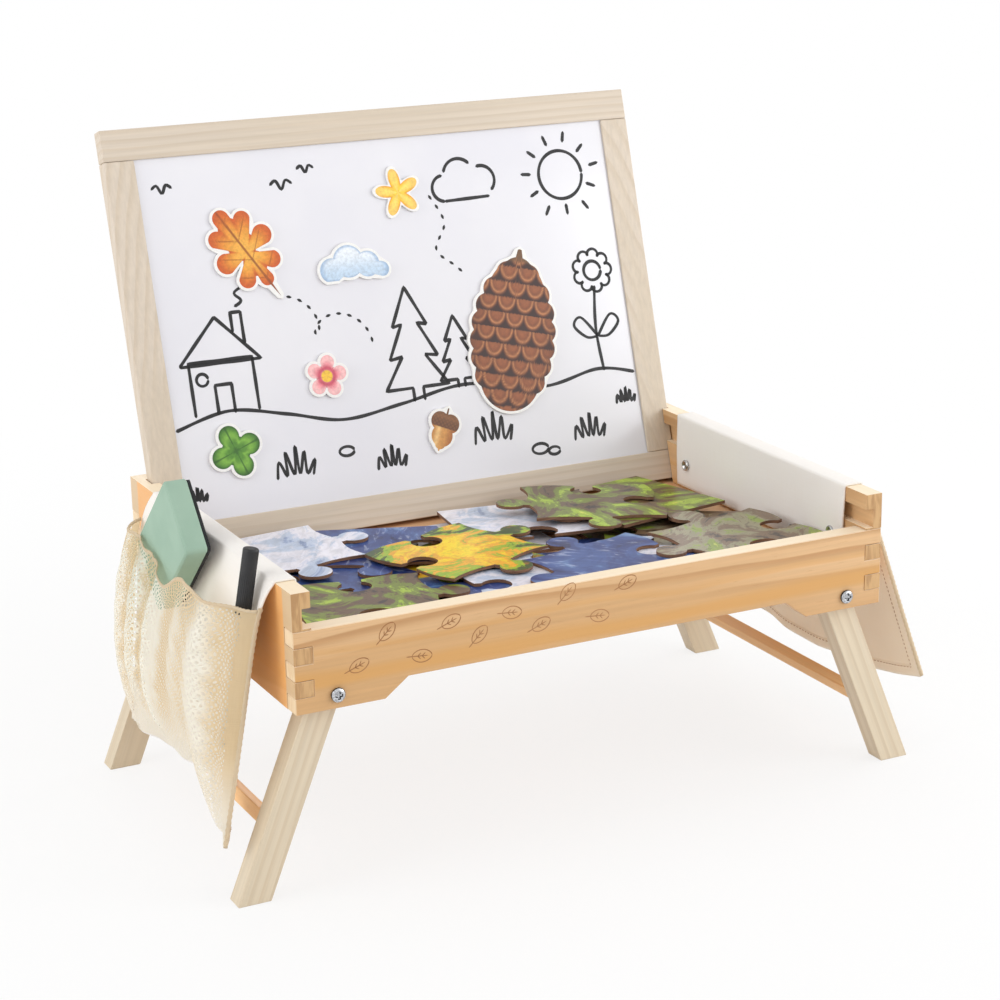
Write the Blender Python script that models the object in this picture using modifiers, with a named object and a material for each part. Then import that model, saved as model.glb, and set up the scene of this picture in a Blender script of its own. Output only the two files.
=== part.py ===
"""Folding activity table for a child: a finger-jointed pine tray on two folding leg frames, a framed dry-erase
board that stands in slanted slots, canvas pouches with net pockets over both side walls, and the small things
kept in them.

Metres, +Z up, X across the table, +Y towards its back. The origin is on the ground under the table's middle.
"""
import math

import bmesh
import bpy
import numpy as np
from mathutils import Vector

# Fits
FIT_GAP = 0.0003            # between pieces that touch
SHANK_PLAY = 0.0003         # between a shank and the hole round it

# Tray
TRAY_WIDTH = 0.450
TRAY_DEPTH = 0.314
TRAY_UNDERSIDE = 0.132      # underside of the ears above the ground
WALL_THICK = 0.013
WALL_HEIGHT = 0.082
RAIL_THICK = 0.014
RAIL_HEIGHT = 0.056
EAR_LENGTH = 0.0625         # deep end of a rail, to the foot of its slanted cut
CUT_RUN = 0.017             # length of the slanted cut
BELLY_RISE = 0.0128         # how far the middle of a rail is raised
FINGER_COUNT = 5
EDGE_EASE = 0.0005          # broken edges of the woodwork
FLOOR_THICK = 0.0035
FLOOR_RISE = 0.0209         # underside of the floor above the underside of the tray
FLOOR_HOUSING = 0.005       # depth of the groove that holds the floor

# Leg frames
PIVOT_INSET = 0.029         # from the outside of a side wall
PIVOT_RISE = 0.0095         # above the underside of the ears
LEG_WIDTH = 0.0216
LEG_THICK = 0.016
LEG_SPLAY = math.radians(22.2)
STRETCHER_REACH = 0.101     # from the pivot, down the leg
STRETCHER_SIZE = 0.009
MORTISE_DEPTH = 0.008

# Pivot hardware
BOLT_DIAMETER = 0.005
BOLT_HEAD_DIAMETER = 0.010
BOLT_HEAD_HEIGHT = 0.003
WASHER_DIAMETER = 0.012
WASHER_THICK = 0.001
NUT_ACROSS_FLATS = 0.008
NUT_THICK = 0.005
BOLT_TAIL = 0.0015          # thread past the nut

# Board
BOARD_THICK = 0.012
BOARD_LEAN = math.radians(16.5)
BOARD_SETBACK = 0.043       # from the back of the tray to the foot of the board's face
BOARD_MEMBER = 0.023        # width of its rails and stiles
PANEL_THICK = 0.005
PANEL_RECESS = 0.002
PANEL_HOUSING = 0.004
SLOT_DEPTH = 0.006          # depth of the easel slot and of the lid groove
SLOT_PLAY = 0.001           # at each edge of the board
SLOT_SLACK = 0.0015         # across the board's thickness
SLOT_SINK = 0.004           # below the foot of the board
LID_GROOVE_RISE = 0.0015    # above the rails

# Pouches
POUCH_FRONT = 0.026         # from the front of the tray
POUCH_LENGTH = 0.234
POUCH_DROP = 0.170          # from the top of the wall to the hem
CANVAS_THICK = 0.0012
NET_THICK = 0.001
NET_DROP = 0.018            # from the top of the wall to the rim of the net
FLAP_RAIL_GAP = 0.012       # inner flap, from the front rail
FLAP_BOARD_GAP = 0.011      # inner flap, from the foot of the board
INNER_FLAP_LIFT = 0.002     # above the floor
SADDLE_RADIUS = 0.0013
STUD_INSET = 0.015          # from the ends of the inner flap
STUD_DROP = 0.037           # from the top of the wall
STUD_CAP = 0.009
STUD_CAP_HEIGHT = 0.0022
STUD_POST = 0.003
STUD_POST_LENGTH = 0.009
LEFT_HANG = {"puff": 0.010, "front_flare": 0.172, "back_flare": 0.105, "bulge": 0.034, "loaded": True}
RIGHT_HANG = {"puff": 0.0015, "front_flare": 0.345, "back_flare": 0.260, "bulge": 0.014, "loaded": False}

# Marker
MARKER_LENGTH = 0.136
MARKER_DIAMETER = 0.0094
CAP_DIAMETER = 0.0106
CAP_LENGTH = 0.044
CAP_WALL = 0.0008
NECK_LENGTH = 0.016
NIB_DIAMETER = 0.004
NIB_LENGTH = 0.009
NIB_SOCKET = 0.004
MARKER_HEAD_OUT = 0.0082    # head of the marker, out from the wall
MARKER_LEAN = math.radians(10)                          # its foot leans outwards
MARKER_FOOT_FROM_FRONT = 0.048
MARKER_HEAD_FROM_FRONT = 0.044
MARKER_HEAD_RISE = 0.020    # above the top of the wall

# Eraser
ERASER_LENGTH = 0.090
ERASER_WIDTH = 0.056
ERASER_THICK = 0.016
ERASER_CORNER = 0.0035
FELT_THICK = 0.002
FELT_INSET = 0.001
ERASER_TURN = math.radians(-42)
ERASER_FROM_FRONT = 0.161
ERASER_RISE = -0.008        # its middle, from the top of the wall
ERASER_OUT = 0.0118         # felt face, out from the wall

# Jigsaw and magnets
JIGSAW_LENGTH = 0.108
JIGSAW_WIDTH = 0.097
JIGSAW_THICK = 0.0024
KNOB_RADIUS = 0.014
KNOB_NECK = 0.008           # half the width of a knob's neck
KNOB_ENTRY = 0.0021         # how far a knob enters the socket beside it
ROW_GAP = 0.0023            # between a knob and the row behind it
HEAP_SIDE = 0.078           # upper pieces at the right, from the wall to their middle
MAGNET_THICK = 0.002

# Levels and faces worked out from the sizes above
HALF_WIDTH = TRAY_WIDTH / 2
HALF_DEPTH = TRAY_DEPTH / 2
RAIL_TOP = TRAY_UNDERSIDE + RAIL_HEIGHT
WALL_TOP = TRAY_UNDERSIDE + WALL_HEIGHT
WALL_INNER = HALF_WIDTH - WALL_THICK
RAIL_INNER = HALF_DEPTH - RAIL_THICK
FLOOR_UNDER = TRAY_UNDERSIDE + FLOOR_RISE
FLOOR_TOP = FLOOR_UNDER + FLOOR_THICK
PIVOT_X = HALF_WIDTH - PIVOT_INSET
PIVOT_Z = TRAY_UNDERSIDE + PIVOT_RISE
LEG_FACE = RAIL_INNER - WASHER_THICK - 2 * FIT_GAP      # outer face of a leg, from the middle
LEG_BACK = LEG_FACE - LEG_THICK
BOARD_WIDTH = 2 * (WALL_INNER + SLOT_DEPTH - SLOT_PLAY)
BOARD_HEIGHT = TRAY_DEPTH                               # it also covers the tray as a lid
BOARD_FOOT_Y = HALF_DEPTH - BOARD_SETBACK
BOARD_FOOT_Z = FLOOR_TOP + FIT_GAP + BOARD_THICK * math.sin(BOARD_LEAN)
POUCH_Y0 = -HALF_DEPTH + POUCH_FRONT
POUCH_Y1 = POUCH_Y0 + POUCH_LENGTH
FLAP_Y0 = -RAIL_INNER + FLAP_RAIL_GAP
FLAP_Y1 = BOARD_FOOT_Y - FLAP_BOARD_GAP
MARKER_FOOT_OUT = MARKER_HEAD_OUT + MARKER_LENGTH * math.sin(MARKER_LEAN)
KNOB_REACH = KNOB_RADIUS + math.sqrt(KNOB_RADIUS ** 2 - KNOB_NECK ** 2)
JIGSAW_COLUMN = JIGSAW_LENGTH + KNOB_REACH - KNOB_ENTRY
JIGSAW_ROW = JIGSAW_WIDTH + KNOB_REACH + ROW_GAP
JIGSAW_MIDDLE = (BOARD_FOOT_Y - RAIL_INNER) / 2         # halfway from the front rail to the board
BOARD_BACK = BOARD_FOOT_Y + BOARD_HEIGHT * math.sin(BOARD_LEAN) + BOARD_THICK * math.cos(BOARD_LEAN)
TABLE_FRONT = -HALF_DEPTH - FIT_GAP - BOLT_HEAD_HEIGHT
FRAME_SHIFT = -(BOARD_BACK + TABLE_FRONT) / 2           # brings the middle of the whole table over the origin

FACING_FRONT = (math.pi / 2, 0, 0)                      # an outline's x, y become X and Z
FACING_SIDE = (math.pi / 2, 0, math.pi / 2)             # an outline's x, y become Y and Z
SIDES = (("left", -1), ("right", 1))


def clear_scene():
    for piece in list(bpy.data.objects):
        bpy.data.objects.remove(piece, do_unlink=True)


def new_collection(name):
    made = bpy.data.collections.new(name)
    bpy.context.scene.collection.children.link(made)
    return made


def finish(name, colour, roughness, metallic=0.0):
    made = bpy.data.materials.new(name)
    made.use_nodes = True
    shader = made.node_tree.nodes["Principled BSDF"]
    shader.inputs["Base Color"].default_value = (*colour, 1.0)
    shader.inputs["Roughness"].default_value = roughness
    shader.inputs["Metallic"].default_value = metallic
    return made


def new_empty(name, parent, place=(0, 0, 0), turn=(0, 0, 0)):
    made = bpy.data.objects.new(name, None)
    made.location = place
    made.rotation_euler = turn
    made.parent = parent
    PARTS.objects.link(made)
    return made


def new_piece(name, mesh, look, parent, place=(0, 0, 0), turn=(0, 0, 0)):
    """A sub-part of the table, under the empty that carries it."""
    made = bpy.data.objects.new(name, mesh)
    made.location = place
    made.rotation_euler = turn
    made.parent = parent
    mesh.materials.clear()
    mesh.materials.append(look)
    PARTS.objects.link(made)
    return made


def new_cutter(name, mesh, parent, place=(0, 0, 0), turn=(0, 0, 0)):
    made = bpy.data.objects.new(name, mesh)
    made.location = place
    made.rotation_euler = turn
    made.parent = parent
    made.hide_render = True
    made.display_type = "WIRE"
    CUTTERS.objects.link(made)
    return made


def cut(piece, cutter):
    made = piece.modifiers.new("cut_" + cutter.name, "BOOLEAN")
    made.operation = "DIFFERENCE"
    made.object = cutter


def ease_edges(piece, width=EDGE_EASE):
    weld = piece.modifiers.new("weld", "WELD")
    weld.merge_threshold = 1e-5
    made = piece.modifiers.new("eased_edges", "BEVEL")
    made.width = width
    made.segments = 1
    made.limit_method = "ANGLE"
    made.angle_limit = math.radians(40)


def box_mesh(name, low, high):
    low, high = Vector(low), Vector(high)
    shape = bmesh.new()
    bmesh.ops.create_cube(shape, size=1.0)
    bmesh.ops.scale(shape, vec=high - low, verts=shape.verts)
    bmesh.ops.translate(shape, vec=(low + high) / 2, verts=shape.verts)
    mesh = bpy.data.meshes.new(name)
    shape.to_mesh(mesh)
    shape.free()
    return mesh


def plate_mesh(name, outline, thick):
    """A flat outline given a thickness across its own plane."""
    shape = bmesh.new()
    low = [shape.verts.new((x, y, -thick / 2)) for x, y in outline]
    high = [shape.verts.new((x, y, thick / 2)) for x, y in outline]
    shape.faces.new(low)
    shape.faces.new(high)
    for k in range(len(outline)):
        shape.faces.new((low[k - 1], low[k], high[k], high[k - 1]))
    bmesh.ops.recalc_face_normals(shape, faces=shape.faces)
    mesh = bpy.data.meshes.new(name)
    shape.to_mesh(mesh)
    shape.free()
    return mesh


def bore_mesh(name, radius, depth, segments=24):
    """A cutter for a round hole, along its own Z."""
    shape = bmesh.new()
    bmesh.ops.create_cone(shape, cap_ends=True, segments=segments, radius1=radius, radius2=radius, depth=depth)
    mesh = bpy.data.meshes.new(name)
    shape.to_mesh(mesh)
    shape.free()
    return mesh


def turned_piece(name, profile, look, parent, place, turn, closed=False, steps=24):
    """A profile of radius and height, outer side running down, turned about its own Z."""
    mesh = bpy.data.meshes.new(name)
    shape = bmesh.new()
    ring = [shape.verts.new((r, 0, z)) for r, z in profile]
    for a, b in zip(ring, ring[1:]):
        shape.edges.new((a, b))
    if closed:
        shape.edges.new((ring[-1], ring[0]))
    shape.to_mesh(mesh)
    shape.free()
    made = new_piece(name, mesh, look, parent, place, turn)
    screw = made.modifiers.new("turned", "SCREW")
    screw.steps = steps
    screw.render_steps = steps
    screw.use_merge_vertices = True
    screw.merge_threshold = 1e-5
    screw.use_smooth_shade = True
    return made


def circle(radius, count=24, centre=(0, 0)):
    turn = np.linspace(0, 2 * math.pi, count, endpoint=False)
    return [(centre[0] + radius * math.cos(a), centre[1] + radius * math.sin(a)) for a in turn]


def round_box(length, width, radius, count=5):
    """A rectangle with round corners."""
    points = []
    for k, (sx, sy) in enumerate(((1, 1), (-1, 1), (-1, -1), (1, -1))):
        for a in np.linspace(k * math.pi / 2, (k + 1) * math.pi / 2, count):
            x = sx * (length / 2 - radius) + radius * math.cos(a)
            y = sy * (width / 2 - radius) + radius * math.sin(a)
            points.append((x, y))
    return points


def fingers():
    """Foot and head of each finger of the corner joints, from the underside of the tray to the top of a rail."""
    edges = np.linspace(TRAY_UNDERSIDE, RAIL_TOP, FINGER_COUNT + 1)
    return list(zip(edges, edges[1:]))


def rail_comb():
    """Right end of a rail, going up: its fingers reach the outside of the wall."""
    root = WALL_INNER - FIT_GAP
    points = []
    for low, high in fingers()[::2]:
        foot = low if low == TRAY_UNDERSIDE else low + FIT_GAP / 2
        head = high if high == RAIL_TOP else high - FIT_GAP / 2
        if foot > low:
            points.append((root, foot))
        points.append((HALF_WIDTH, foot))
        points.append((HALF_WIDTH, head))
        if head < high:
            points.append((root, head))
    return points


def rail_outline():
    ear = HALF_WIDTH - EAR_LENGTH
    belly = TRAY_UNDERSIDE + BELLY_RISE
    right = [(ear - CUT_RUN, belly), (ear, TRAY_UNDERSIDE), *rail_comb()]
    left = [(-x, z) for x, z in reversed(right)]
    return right + left


def wall_comb():
    """Back end of a side wall, going up: notches for the rail's fingers, then the plain end above the rail."""
    root = RAIL_INNER - FIT_GAP
    points = []
    for low, high in fingers()[::2]:
        foot = low if low == TRAY_UNDERSIDE else low - FIT_GAP / 2
        head = high + (FIT_GAP if high == RAIL_TOP else FIT_GAP / 2)
        if foot < low:
            points.append((HALF_DEPTH, foot))
        points.append((root, foot))
        points.append((root, head))
        points.append((HALF_DEPTH, head))
    return points + [(HALF_DEPTH, WALL_TOP)]


def wall_outline():
    back = wall_comb()
    return back + [(-y, z) for y, z in reversed(back)]


def build_tray(table):
    floor_x = WALL_INNER + FLOOR_HOUSING
    floor_y = RAIL_INNER + FLOOR_HOUSING
    housing = new_cutter("floor_housing", box_mesh("floor_housing", (-floor_x, -floor_y, FLOOR_UNDER - FIT_GAP),
                                                   (floor_x, floor_y, FLOOR_TOP + FIT_GAP)), table)
    new_piece("floor_panel", box_mesh("floor_panel", (FIT_GAP - floor_x, FIT_GAP - floor_y, FLOOR_UNDER),
                                      (floor_x - FIT_GAP, floor_y - FIT_GAP, FLOOR_TOP)), PLYWOOD, table)

    bores = [bolt_bore(word, side, table) for word, side in SIDES]
    for name, side in (("front_rail", -1), ("back_rail", 1)):
        rail = new_piece(name, plate_mesh(name, rail_outline(), RAIL_THICK), PINE, table,
                         (0, side * (HALF_DEPTH - RAIL_THICK / 2), 0), FACING_FRONT)
        cut(rail, housing)
        for bore in bores:
            cut(rail, bore)
        ease_edges(rail)

    reach = SLOT_DEPTH
    groove_low = RAIL_TOP + LID_GROOVE_RISE
    groove_high = groove_low + BOARD_THICK + SLOT_SLACK
    slot_top = WALL_HEIGHT / math.cos(BOARD_LEAN) + BOARD_THICK
    for name, side in (("left_wall", -1), ("right_wall", 1)):
        wall = new_piece(name, plate_mesh(name, wall_outline(), WALL_THICK), PINE, table,
                         (side * (HALF_WIDTH - WALL_THICK / 2), 0, 0), FACING_SIDE)
        near, far = sorted((side * (WALL_INNER - reach), side * (WALL_INNER + reach)))
        groove = new_cutter(name + "_lid_groove", box_mesh("lid_groove", (near, -TRAY_DEPTH, groove_low),
                                                           (far, TRAY_DEPTH, groove_high)), table)
        slot = new_cutter(name + "_easel_slot", box_mesh("easel_slot", (near, -SLOT_SLACK / 2, -SLOT_SINK),
                                                         (far, BOARD_THICK + SLOT_SLACK / 2, slot_top)), table,
                          (0, BOARD_FOOT_Y, BOARD_FOOT_Z), (-BOARD_LEAN, 0, 0))
        cut(wall, housing)
        cut(wall, groove)
        cut(wall, slot)
        for index, y in enumerate(stud_places()):
            hole = stud_hole(f"{name}_stud_hole_{index}", side, y, table)
            cut(wall, hole)
        ease_edges(wall)


def stud_places():
    return (FLAP_Y0 + STUD_INSET, FLAP_Y1 - STUD_INSET)


def stud_hole(name, side, y, table):
    """A bore for a stud's post: through the flap and into the wall."""
    mesh = bore_mesh(name, STUD_POST / 2 + SHANK_PLAY, 2 * (STUD_POST_LENGTH + FIT_GAP), 16)
    return new_cutter(name, mesh, table, (side * flap_face(), y, WALL_TOP - STUD_DROP), (0, side * math.pi / 2, 0))


def bolt_bore(word, side, parent, x=PIVOT_X, z=PIVOT_Z):
    """A bore for the pivot bolts of one side: right through the table from front to back."""
    mesh = bore_mesh("bolt_bore", BOLT_DIAMETER / 2 + SHANK_PLAY, 2 * TRAY_DEPTH)
    return new_cutter(f"{parent.name}_{word}_bolt_bore", mesh, parent, (side * x, 0, z), FACING_FRONT)


def flap_face():
    """Face of the inner flap that is turned to the tray, from the middle of the table."""
    return WALL_INNER - FIT_GAP - CANVAS_THICK


def leg_outline(side):
    """A leg seen from the front, from its pivot: the outer corner of its head stops under the floor, its inner corner
    is round, and its foot is cut level with the ground."""
    half = LEG_WIDTH / 2
    room = FLOOR_UNDER - PIVOT_Z - FIT_GAP
    head = (room - half * math.sin(LEG_SPLAY)) / math.cos(LEG_SPLAY)
    inner = math.sqrt(half ** 2 - head ** 2)
    start = math.atan2(head, -inner)
    points = [(head, half)]
    for a in np.linspace(start, math.pi, 6):
        points.append((half * math.sin(a), half * math.cos(a)))
    for across in (-half, half):
        points.append((-(PIVOT_Z + across * math.sin(LEG_SPLAY)) / math.cos(LEG_SPLAY), across))
    return [leg_point(side, up, across) for up, across in points]


def leg_point(side, up, across):
    """A point given up the leg and outwards across it, as X and Z from the pivot."""
    sine, cosine = math.sin(LEG_SPLAY), math.cos(LEG_SPLAY)
    return (side * (across * cosine - up * sine), up * cosine + across * sine)


def build_leg_frame(word, side, table):
    pivot = new_empty(word + "_leg_pivot", table, (side * PIVOT_X, 0, PIVOT_Z))
    bore = bolt_bore(word, side, pivot, 0, 0)
    half = STRETCHER_SIZE / 2
    bar = [leg_point(side, -STRETCHER_REACH + u * half, v * half) for u, v in ((-1, -1), (1, -1), (1, 1), (-1, 1))]
    wide = half + FIT_GAP
    socket = [leg_point(side, -STRETCHER_REACH + u * wide, v * wide) for u, v in ((-1, -1), (1, -1), (1, 1), (-1, 1))]
    mortises = new_cutter(word + "_mortises", plate_mesh("mortises", socket, 2 * (LEG_BACK + MORTISE_DEPTH)),
                          pivot, turn=FACING_FRONT)
    for end, place in (("front", -1), ("back", 1)):
        name = f"{word}_leg_{end}"
        leg = new_piece(name, plate_mesh(name, leg_outline(side), LEG_THICK), CREAM_PAINT, pivot,
                        (0, place * (LEG_FACE - LEG_THICK / 2), 0), FACING_FRONT)
        cut(leg, bore)
        cut(leg, mortises)
        ease_edges(leg)
    name = word + "_stretcher"
    stretcher = new_piece(name, plate_mesh(name, bar, 2 * (LEG_BACK + MORTISE_DEPTH - FIT_GAP)), BARE_WOOD, pivot,
                          turn=FACING_FRONT)
    ease_edges(stretcher)


def build_pivot_hardware(word, side, table):
    """Bolt from outside the rail, washer between rail and leg, lock nut behind the leg."""
    shank = BOLT_DIAMETER / 2
    head = BOLT_HEAD_DIAMETER / 2
    nut_face = LEG_BACK - FIT_GAP
    tip = HALF_DEPTH - nut_face + NUT_THICK + BOLT_TAIL
    dome = [(head * math.cos(a), BOLT_HEAD_HEIGHT * (0.35 + 0.65 * math.sin(a)) + FIT_GAP)
            for a in np.linspace(math.pi / 2, 0, 6)]
    dome[0] = (0, BOLT_HEAD_HEIGHT + FIT_GAP)
    profile = dome + [(head, FIT_GAP), (shank, FIT_GAP), (shank, -tip), (0, -tip)]
    ring_in = shank + SHANK_PLAY
    ring_out = WASHER_DIAMETER / 2
    ring = [(ring_out, WASHER_THICK), (ring_out, 0), (ring_in, 0), (ring_in, WASHER_THICK)]
    hexagon = circle(NUT_ACROSS_FLATS / math.sqrt(3), 6)
    bore = bpy.data.objects[f"{table.name}_{word}_bolt_bore"]
    for end, place in (("front", -1), ("back", 1)):
        turn = (-place * math.pi / 2, 0, 0)
        x = side * PIVOT_X
        turned_piece(f"pivot_bolt_{end}_{word}", profile, ZINC, table, (x, place * HALF_DEPTH, PIVOT_Z), turn)
        washer_y = place * (RAIL_INNER - FIT_GAP - WASHER_THICK)
        turned_piece(f"pivot_washer_{end}_{word}", ring, ZINC, table, (x, washer_y, PIVOT_Z), turn, closed=True)
        name = f"pivot_nut_{end}_{word}"
        nut = new_piece(name, plate_mesh(name, hexagon, NUT_THICK), ZINC, table,
                        (x, place * (nut_face - NUT_THICK / 2), PIVOT_Z), FACING_FRONT)
        cut(nut, bore)


def build_board(table):
    """The framed panel in its own frame: X across, Z up its face from the foot, Y into its thickness."""
    board = new_empty("board_slide", table, (0, BOARD_FOOT_Y, BOARD_FOOT_Z), (-BOARD_LEAN, 0, 0))
    half = BOARD_WIDTH / 2
    inner_x = half - BOARD_MEMBER
    low, high = BOARD_MEMBER, BOARD_HEIGHT - BOARD_MEMBER
    housing = PANEL_HOUSING + FIT_GAP
    back = PANEL_RECESS + PANEL_THICK
    groove = new_cutter("panel_groove", box_mesh("panel_groove",
                                                 (-inner_x - housing, PANEL_RECESS - FIT_GAP, low - housing),
                                                 (inner_x + housing, back + FIT_GAP, high + housing)), board)
    members = {
        "board_bottom_rail": ((-half, 0, 0), (half, BOARD_THICK, low)),
        "board_top_rail": ((-half, 0, high), (half, BOARD_THICK, BOARD_HEIGHT)),
        "board_left_stile": ((-half, 0, low + FIT_GAP), (-inner_x, BOARD_THICK, high - FIT_GAP)),
        "board_right_stile": ((inner_x, 0, low + FIT_GAP), (half, BOARD_THICK, high - FIT_GAP)),
    }
    for name, (corner, far) in members.items():
        member = new_piece(name, box_mesh(name, corner, far), CREAM_PAINT, board)
        cut(member, groove)
        ease_edges(member)
    new_piece("white_panel", box_mesh("white_panel", (-inner_x - PANEL_HOUSING, PANEL_RECESS, low - PANEL_HOUSING),
                                      (inner_x + PANEL_HOUSING, back, high + PANEL_HOUSING)), DRY_ERASE, board)
    build_magnets(board)


def merged_rounds(rounds, count=48, base=None):
    """Outline of circles that overlap round the origin, each given by its centre and radius. A base cuts it flat."""
    points = []
    for a in np.linspace(0, 2 * math.pi, count, endpoint=False):
        ux, uy = math.cos(a), math.sin(a)
        reach = 0.0
        for x, y, radius in rounds:
            room = radius ** 2 - (x * uy - y * ux) ** 2
            if room > 0:
                reach = max(reach, x * ux + y * uy + math.sqrt(room))
        if base is not None and uy < 0:
            reach = min(reach, base / uy)
        points.append((reach * ux, reach * uy))
    return points


def cone_shape(width, height, rows=7):
    """A pine cone: rows of round scales on an egg shape, and a short stalk."""
    rounds = [(0, 0.50 * height, 0.06 * width)]
    scale = 0.15 * width
    for v in np.linspace(-0.39, 0.34, rows):
        half = 0.5 * width * math.sqrt(1 - ((v + 0.10) / 0.52) ** 2)
        rounds.append((0, v * height, half - 0.4 * scale))
        rounds += [(side * (half - scale), v * height, scale) for side in (-1, 1)]
    return merged_rounds(rounds, 96)


def lobed_leaf(width, height):
    """An oak leaf: round lobes along both sides of a midrib, and a stalk."""
    rounds = [(0, 0.41 * height, 0.15 * width)]
    rounds += [(0, v * height, r * width) for v, r in ((-0.30, 0.13), (-0.12, 0.20), (0.09, 0.23), (0.28, 0.19))]
    rounds += [(0, v * height, 0.05 * width) for v in (-0.41, -0.46, -0.51)]
    for across, v, r in ((0.22, -0.19, 0.15), (0.31, 0.05, 0.17), (0.22, 0.28, 0.15)):
        rounds += [(side * across * width, v * height, r * width) for side in (-1, 1)]
    return merged_rounds(rounds, 88)


def petal_ring(radius, petals, share):
    """Round petals in a ring, as on a clover or a flower."""
    petal = share * radius
    turns = [2 * math.pi * k / petals for k in range(petals)]
    middle = radius - petal
    rounds = [(middle * math.cos(a), middle * math.sin(a), petal) for a in turns]
    return merged_rounds(rounds + [(0, 0, 0.6 * radius)], 14 * petals)


def star_shape(radius, waist, tips=5):
    """A star with soft tips."""
    points = []
    for a in np.linspace(0, 2 * math.pi, 10 * tips, endpoint=False):
        reach = waist + (radius - waist) * abs(math.cos(tips * (a - math.pi / 2) / 2)) ** 1.5
        points.append((reach * math.cos(a), reach * math.sin(a)))
    return points


def cloud_shape(width, height):
    """Puffs on a flat base."""
    puffs = ((-0.28, -0.05, 0.32), (-0.05, 0.11, 0.40), (0.20, 0.02, 0.33), (0.38, -0.12, 0.22))
    return merged_rounds([(x * width, y * height, r * height) for x, y, r in puffs], 52, -0.33 * height)


def acorn_shape(width, height):
    """A nut under a wider cup with a stalk."""
    nut = [(0, -0.08 * height, 0.39 * width), (0, -0.25 * height, 0.23 * width), (0, -0.39 * height, 0.09 * width)]
    cup = [(side * 0.16 * width, 0.20 * height, 0.34 * width) for side in (-1, 1)]
    return merged_rounds(nut + cup + [(0, 0.48 * height, 0.10 * width)], 48)


def build_magnets(board):
    """Flat magnets on the panel, each given by its shape, its place on the board's face and its turn."""
    face = PANEL_RECESS - FIT_GAP - MAGNET_THICK / 2
    middle = BOARD_HEIGHT / 2
    kinds = (
        ("magnet_pine_cone", cone_shape(0.078, 0.112), 0.092, -0.018, -14, CONE_BROWN),
        ("magnet_oak_leaf", lobed_leaf(0.058, 0.078), -0.118, 0.058, 32, LEAF_ORANGE),
        ("magnet_clover", petal_ring(0.022, 4, 0.46), -0.150, -0.086, 20, LEAF_GREEN),
        ("magnet_star", star_shape(0.021, 0.0095), 0.010, 0.092, 10, STAR_YELLOW),
        ("magnet_cloud", cloud_shape(0.062, 0.036), -0.036, 0.040, 0, CLOUD_BLUE),
        ("magnet_acorn", acorn_shape(0.028, 0.038), 0.018, -0.094, -24, LEAF_ORANGE),
        ("magnet_flower", petal_ring(0.018, 5, 0.42), -0.070, -0.040, 8, FLOWER_PINK),
    )
    for name, outline, across, up, degrees, look in kinds:
        turn = math.radians(degrees)
        sine, cosine = math.sin(turn), math.cos(turn)
        placed = [(across + x * cosine - y * sine, middle + up + x * sine + y * cosine) for x, y in outline]
        new_piece(name, plate_mesh(name, placed, MAGNET_THICK), look, board, (0, face, 0), FACING_FRONT)


def smooth_bump(value, centre, width):
    return np.exp(-((value - centre) / width) ** 2)


def flap_out(drop, y, hang):
    """How far an outer flap hangs out from its wall, by its drop below the wall's top and its place along the wall.
    It puffs out under the edge, flares towards the hem and folds; a loaded pocket presses it back behind its load."""
    along = (y - POUCH_Y0) / POUCH_LENGTH
    flare = hang["front_flare"] + (hang["back_flare"] - hang["front_flare"]) * along
    out = hang["puff"] * (1 - np.exp(-drop / 0.012)) + flare * drop
    fold = np.sin(2 * math.pi * 2.6 * along + 0.8) + 0.5 * np.sin(2 * math.pi * 4.7 * along + 2.0)
    out = out + 0.0022 * fold * (drop / POUCH_DROP) ** 2
    if hang["loaded"]:
        near_marker = smooth_bump(y, -HALF_DEPTH + MARKER_HEAD_FROM_FRONT, 0.011)
        near_eraser = smooth_bump(y, -HALF_DEPTH + ERASER_FROM_FRONT, 0.058) * np.exp(-(drop / 0.085) ** 4)
        start = 1 - np.exp(-drop / 0.010)
        out = out - start * (0.0062 * near_marker + 0.0088 * near_eraser)
    return np.maximum(out, 0.0)


def hem_drop(y, hang):
    """Drop of the hem: the left one is drawn up towards the front and ends in a hanging corner, the right one is
    lowest near its middle."""
    along = (y - POUCH_Y0) / POUCH_LENGTH
    if hang["loaded"]:
        return POUCH_DROP - 0.034 * (1 - along) + 0.040 / (1 + np.exp((along - 0.175) / 0.03))
    return POUCH_DROP + 0.003 - 0.060 * (along - 0.48) ** 2


def rim_drop(y, hang):
    """Drop of the net's rim: in the loaded pocket it sags in front of the eraser and is held up on both sides."""
    if hang["loaded"]:
        middle = -HALF_DEPTH + ERASER_FROM_FRONT
        lifted = 0.004 * smooth_bump(y, middle - 0.064, 0.025) + 0.007 * smooth_bump(y, middle + 0.044, 0.028)
        return NET_DROP - lifted + 0.011 * smooth_bump(y, middle - 0.022, 0.018)
    return np.full_like(y, NET_DROP)


def loft_piece(name, rows, thick, look, parent):
    """An open sheet through rows of points, given its thickness evenly on both sides."""
    rows = np.asarray(rows)
    count, width = rows.shape[:2]
    index = np.arange(count * width).reshape(count, width)
    quads = np.stack([index[:-1, :-1], index[:-1, 1:], index[1:, 1:], index[1:, :-1]], axis=-1).reshape(-1, 4)
    mesh = bpy.data.meshes.new(name)
    mesh.from_pydata(rows.reshape(-1, 3).tolist(), [], quads.tolist())
    mesh.shade_smooth()
    made = new_piece(name, mesh, look, parent)
    shell = made.modifiers.new("cloth", "SOLIDIFY")
    shell.thickness = thick
    shell.offset = 0.0
    shell.use_even_offset = True
    return made


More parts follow.
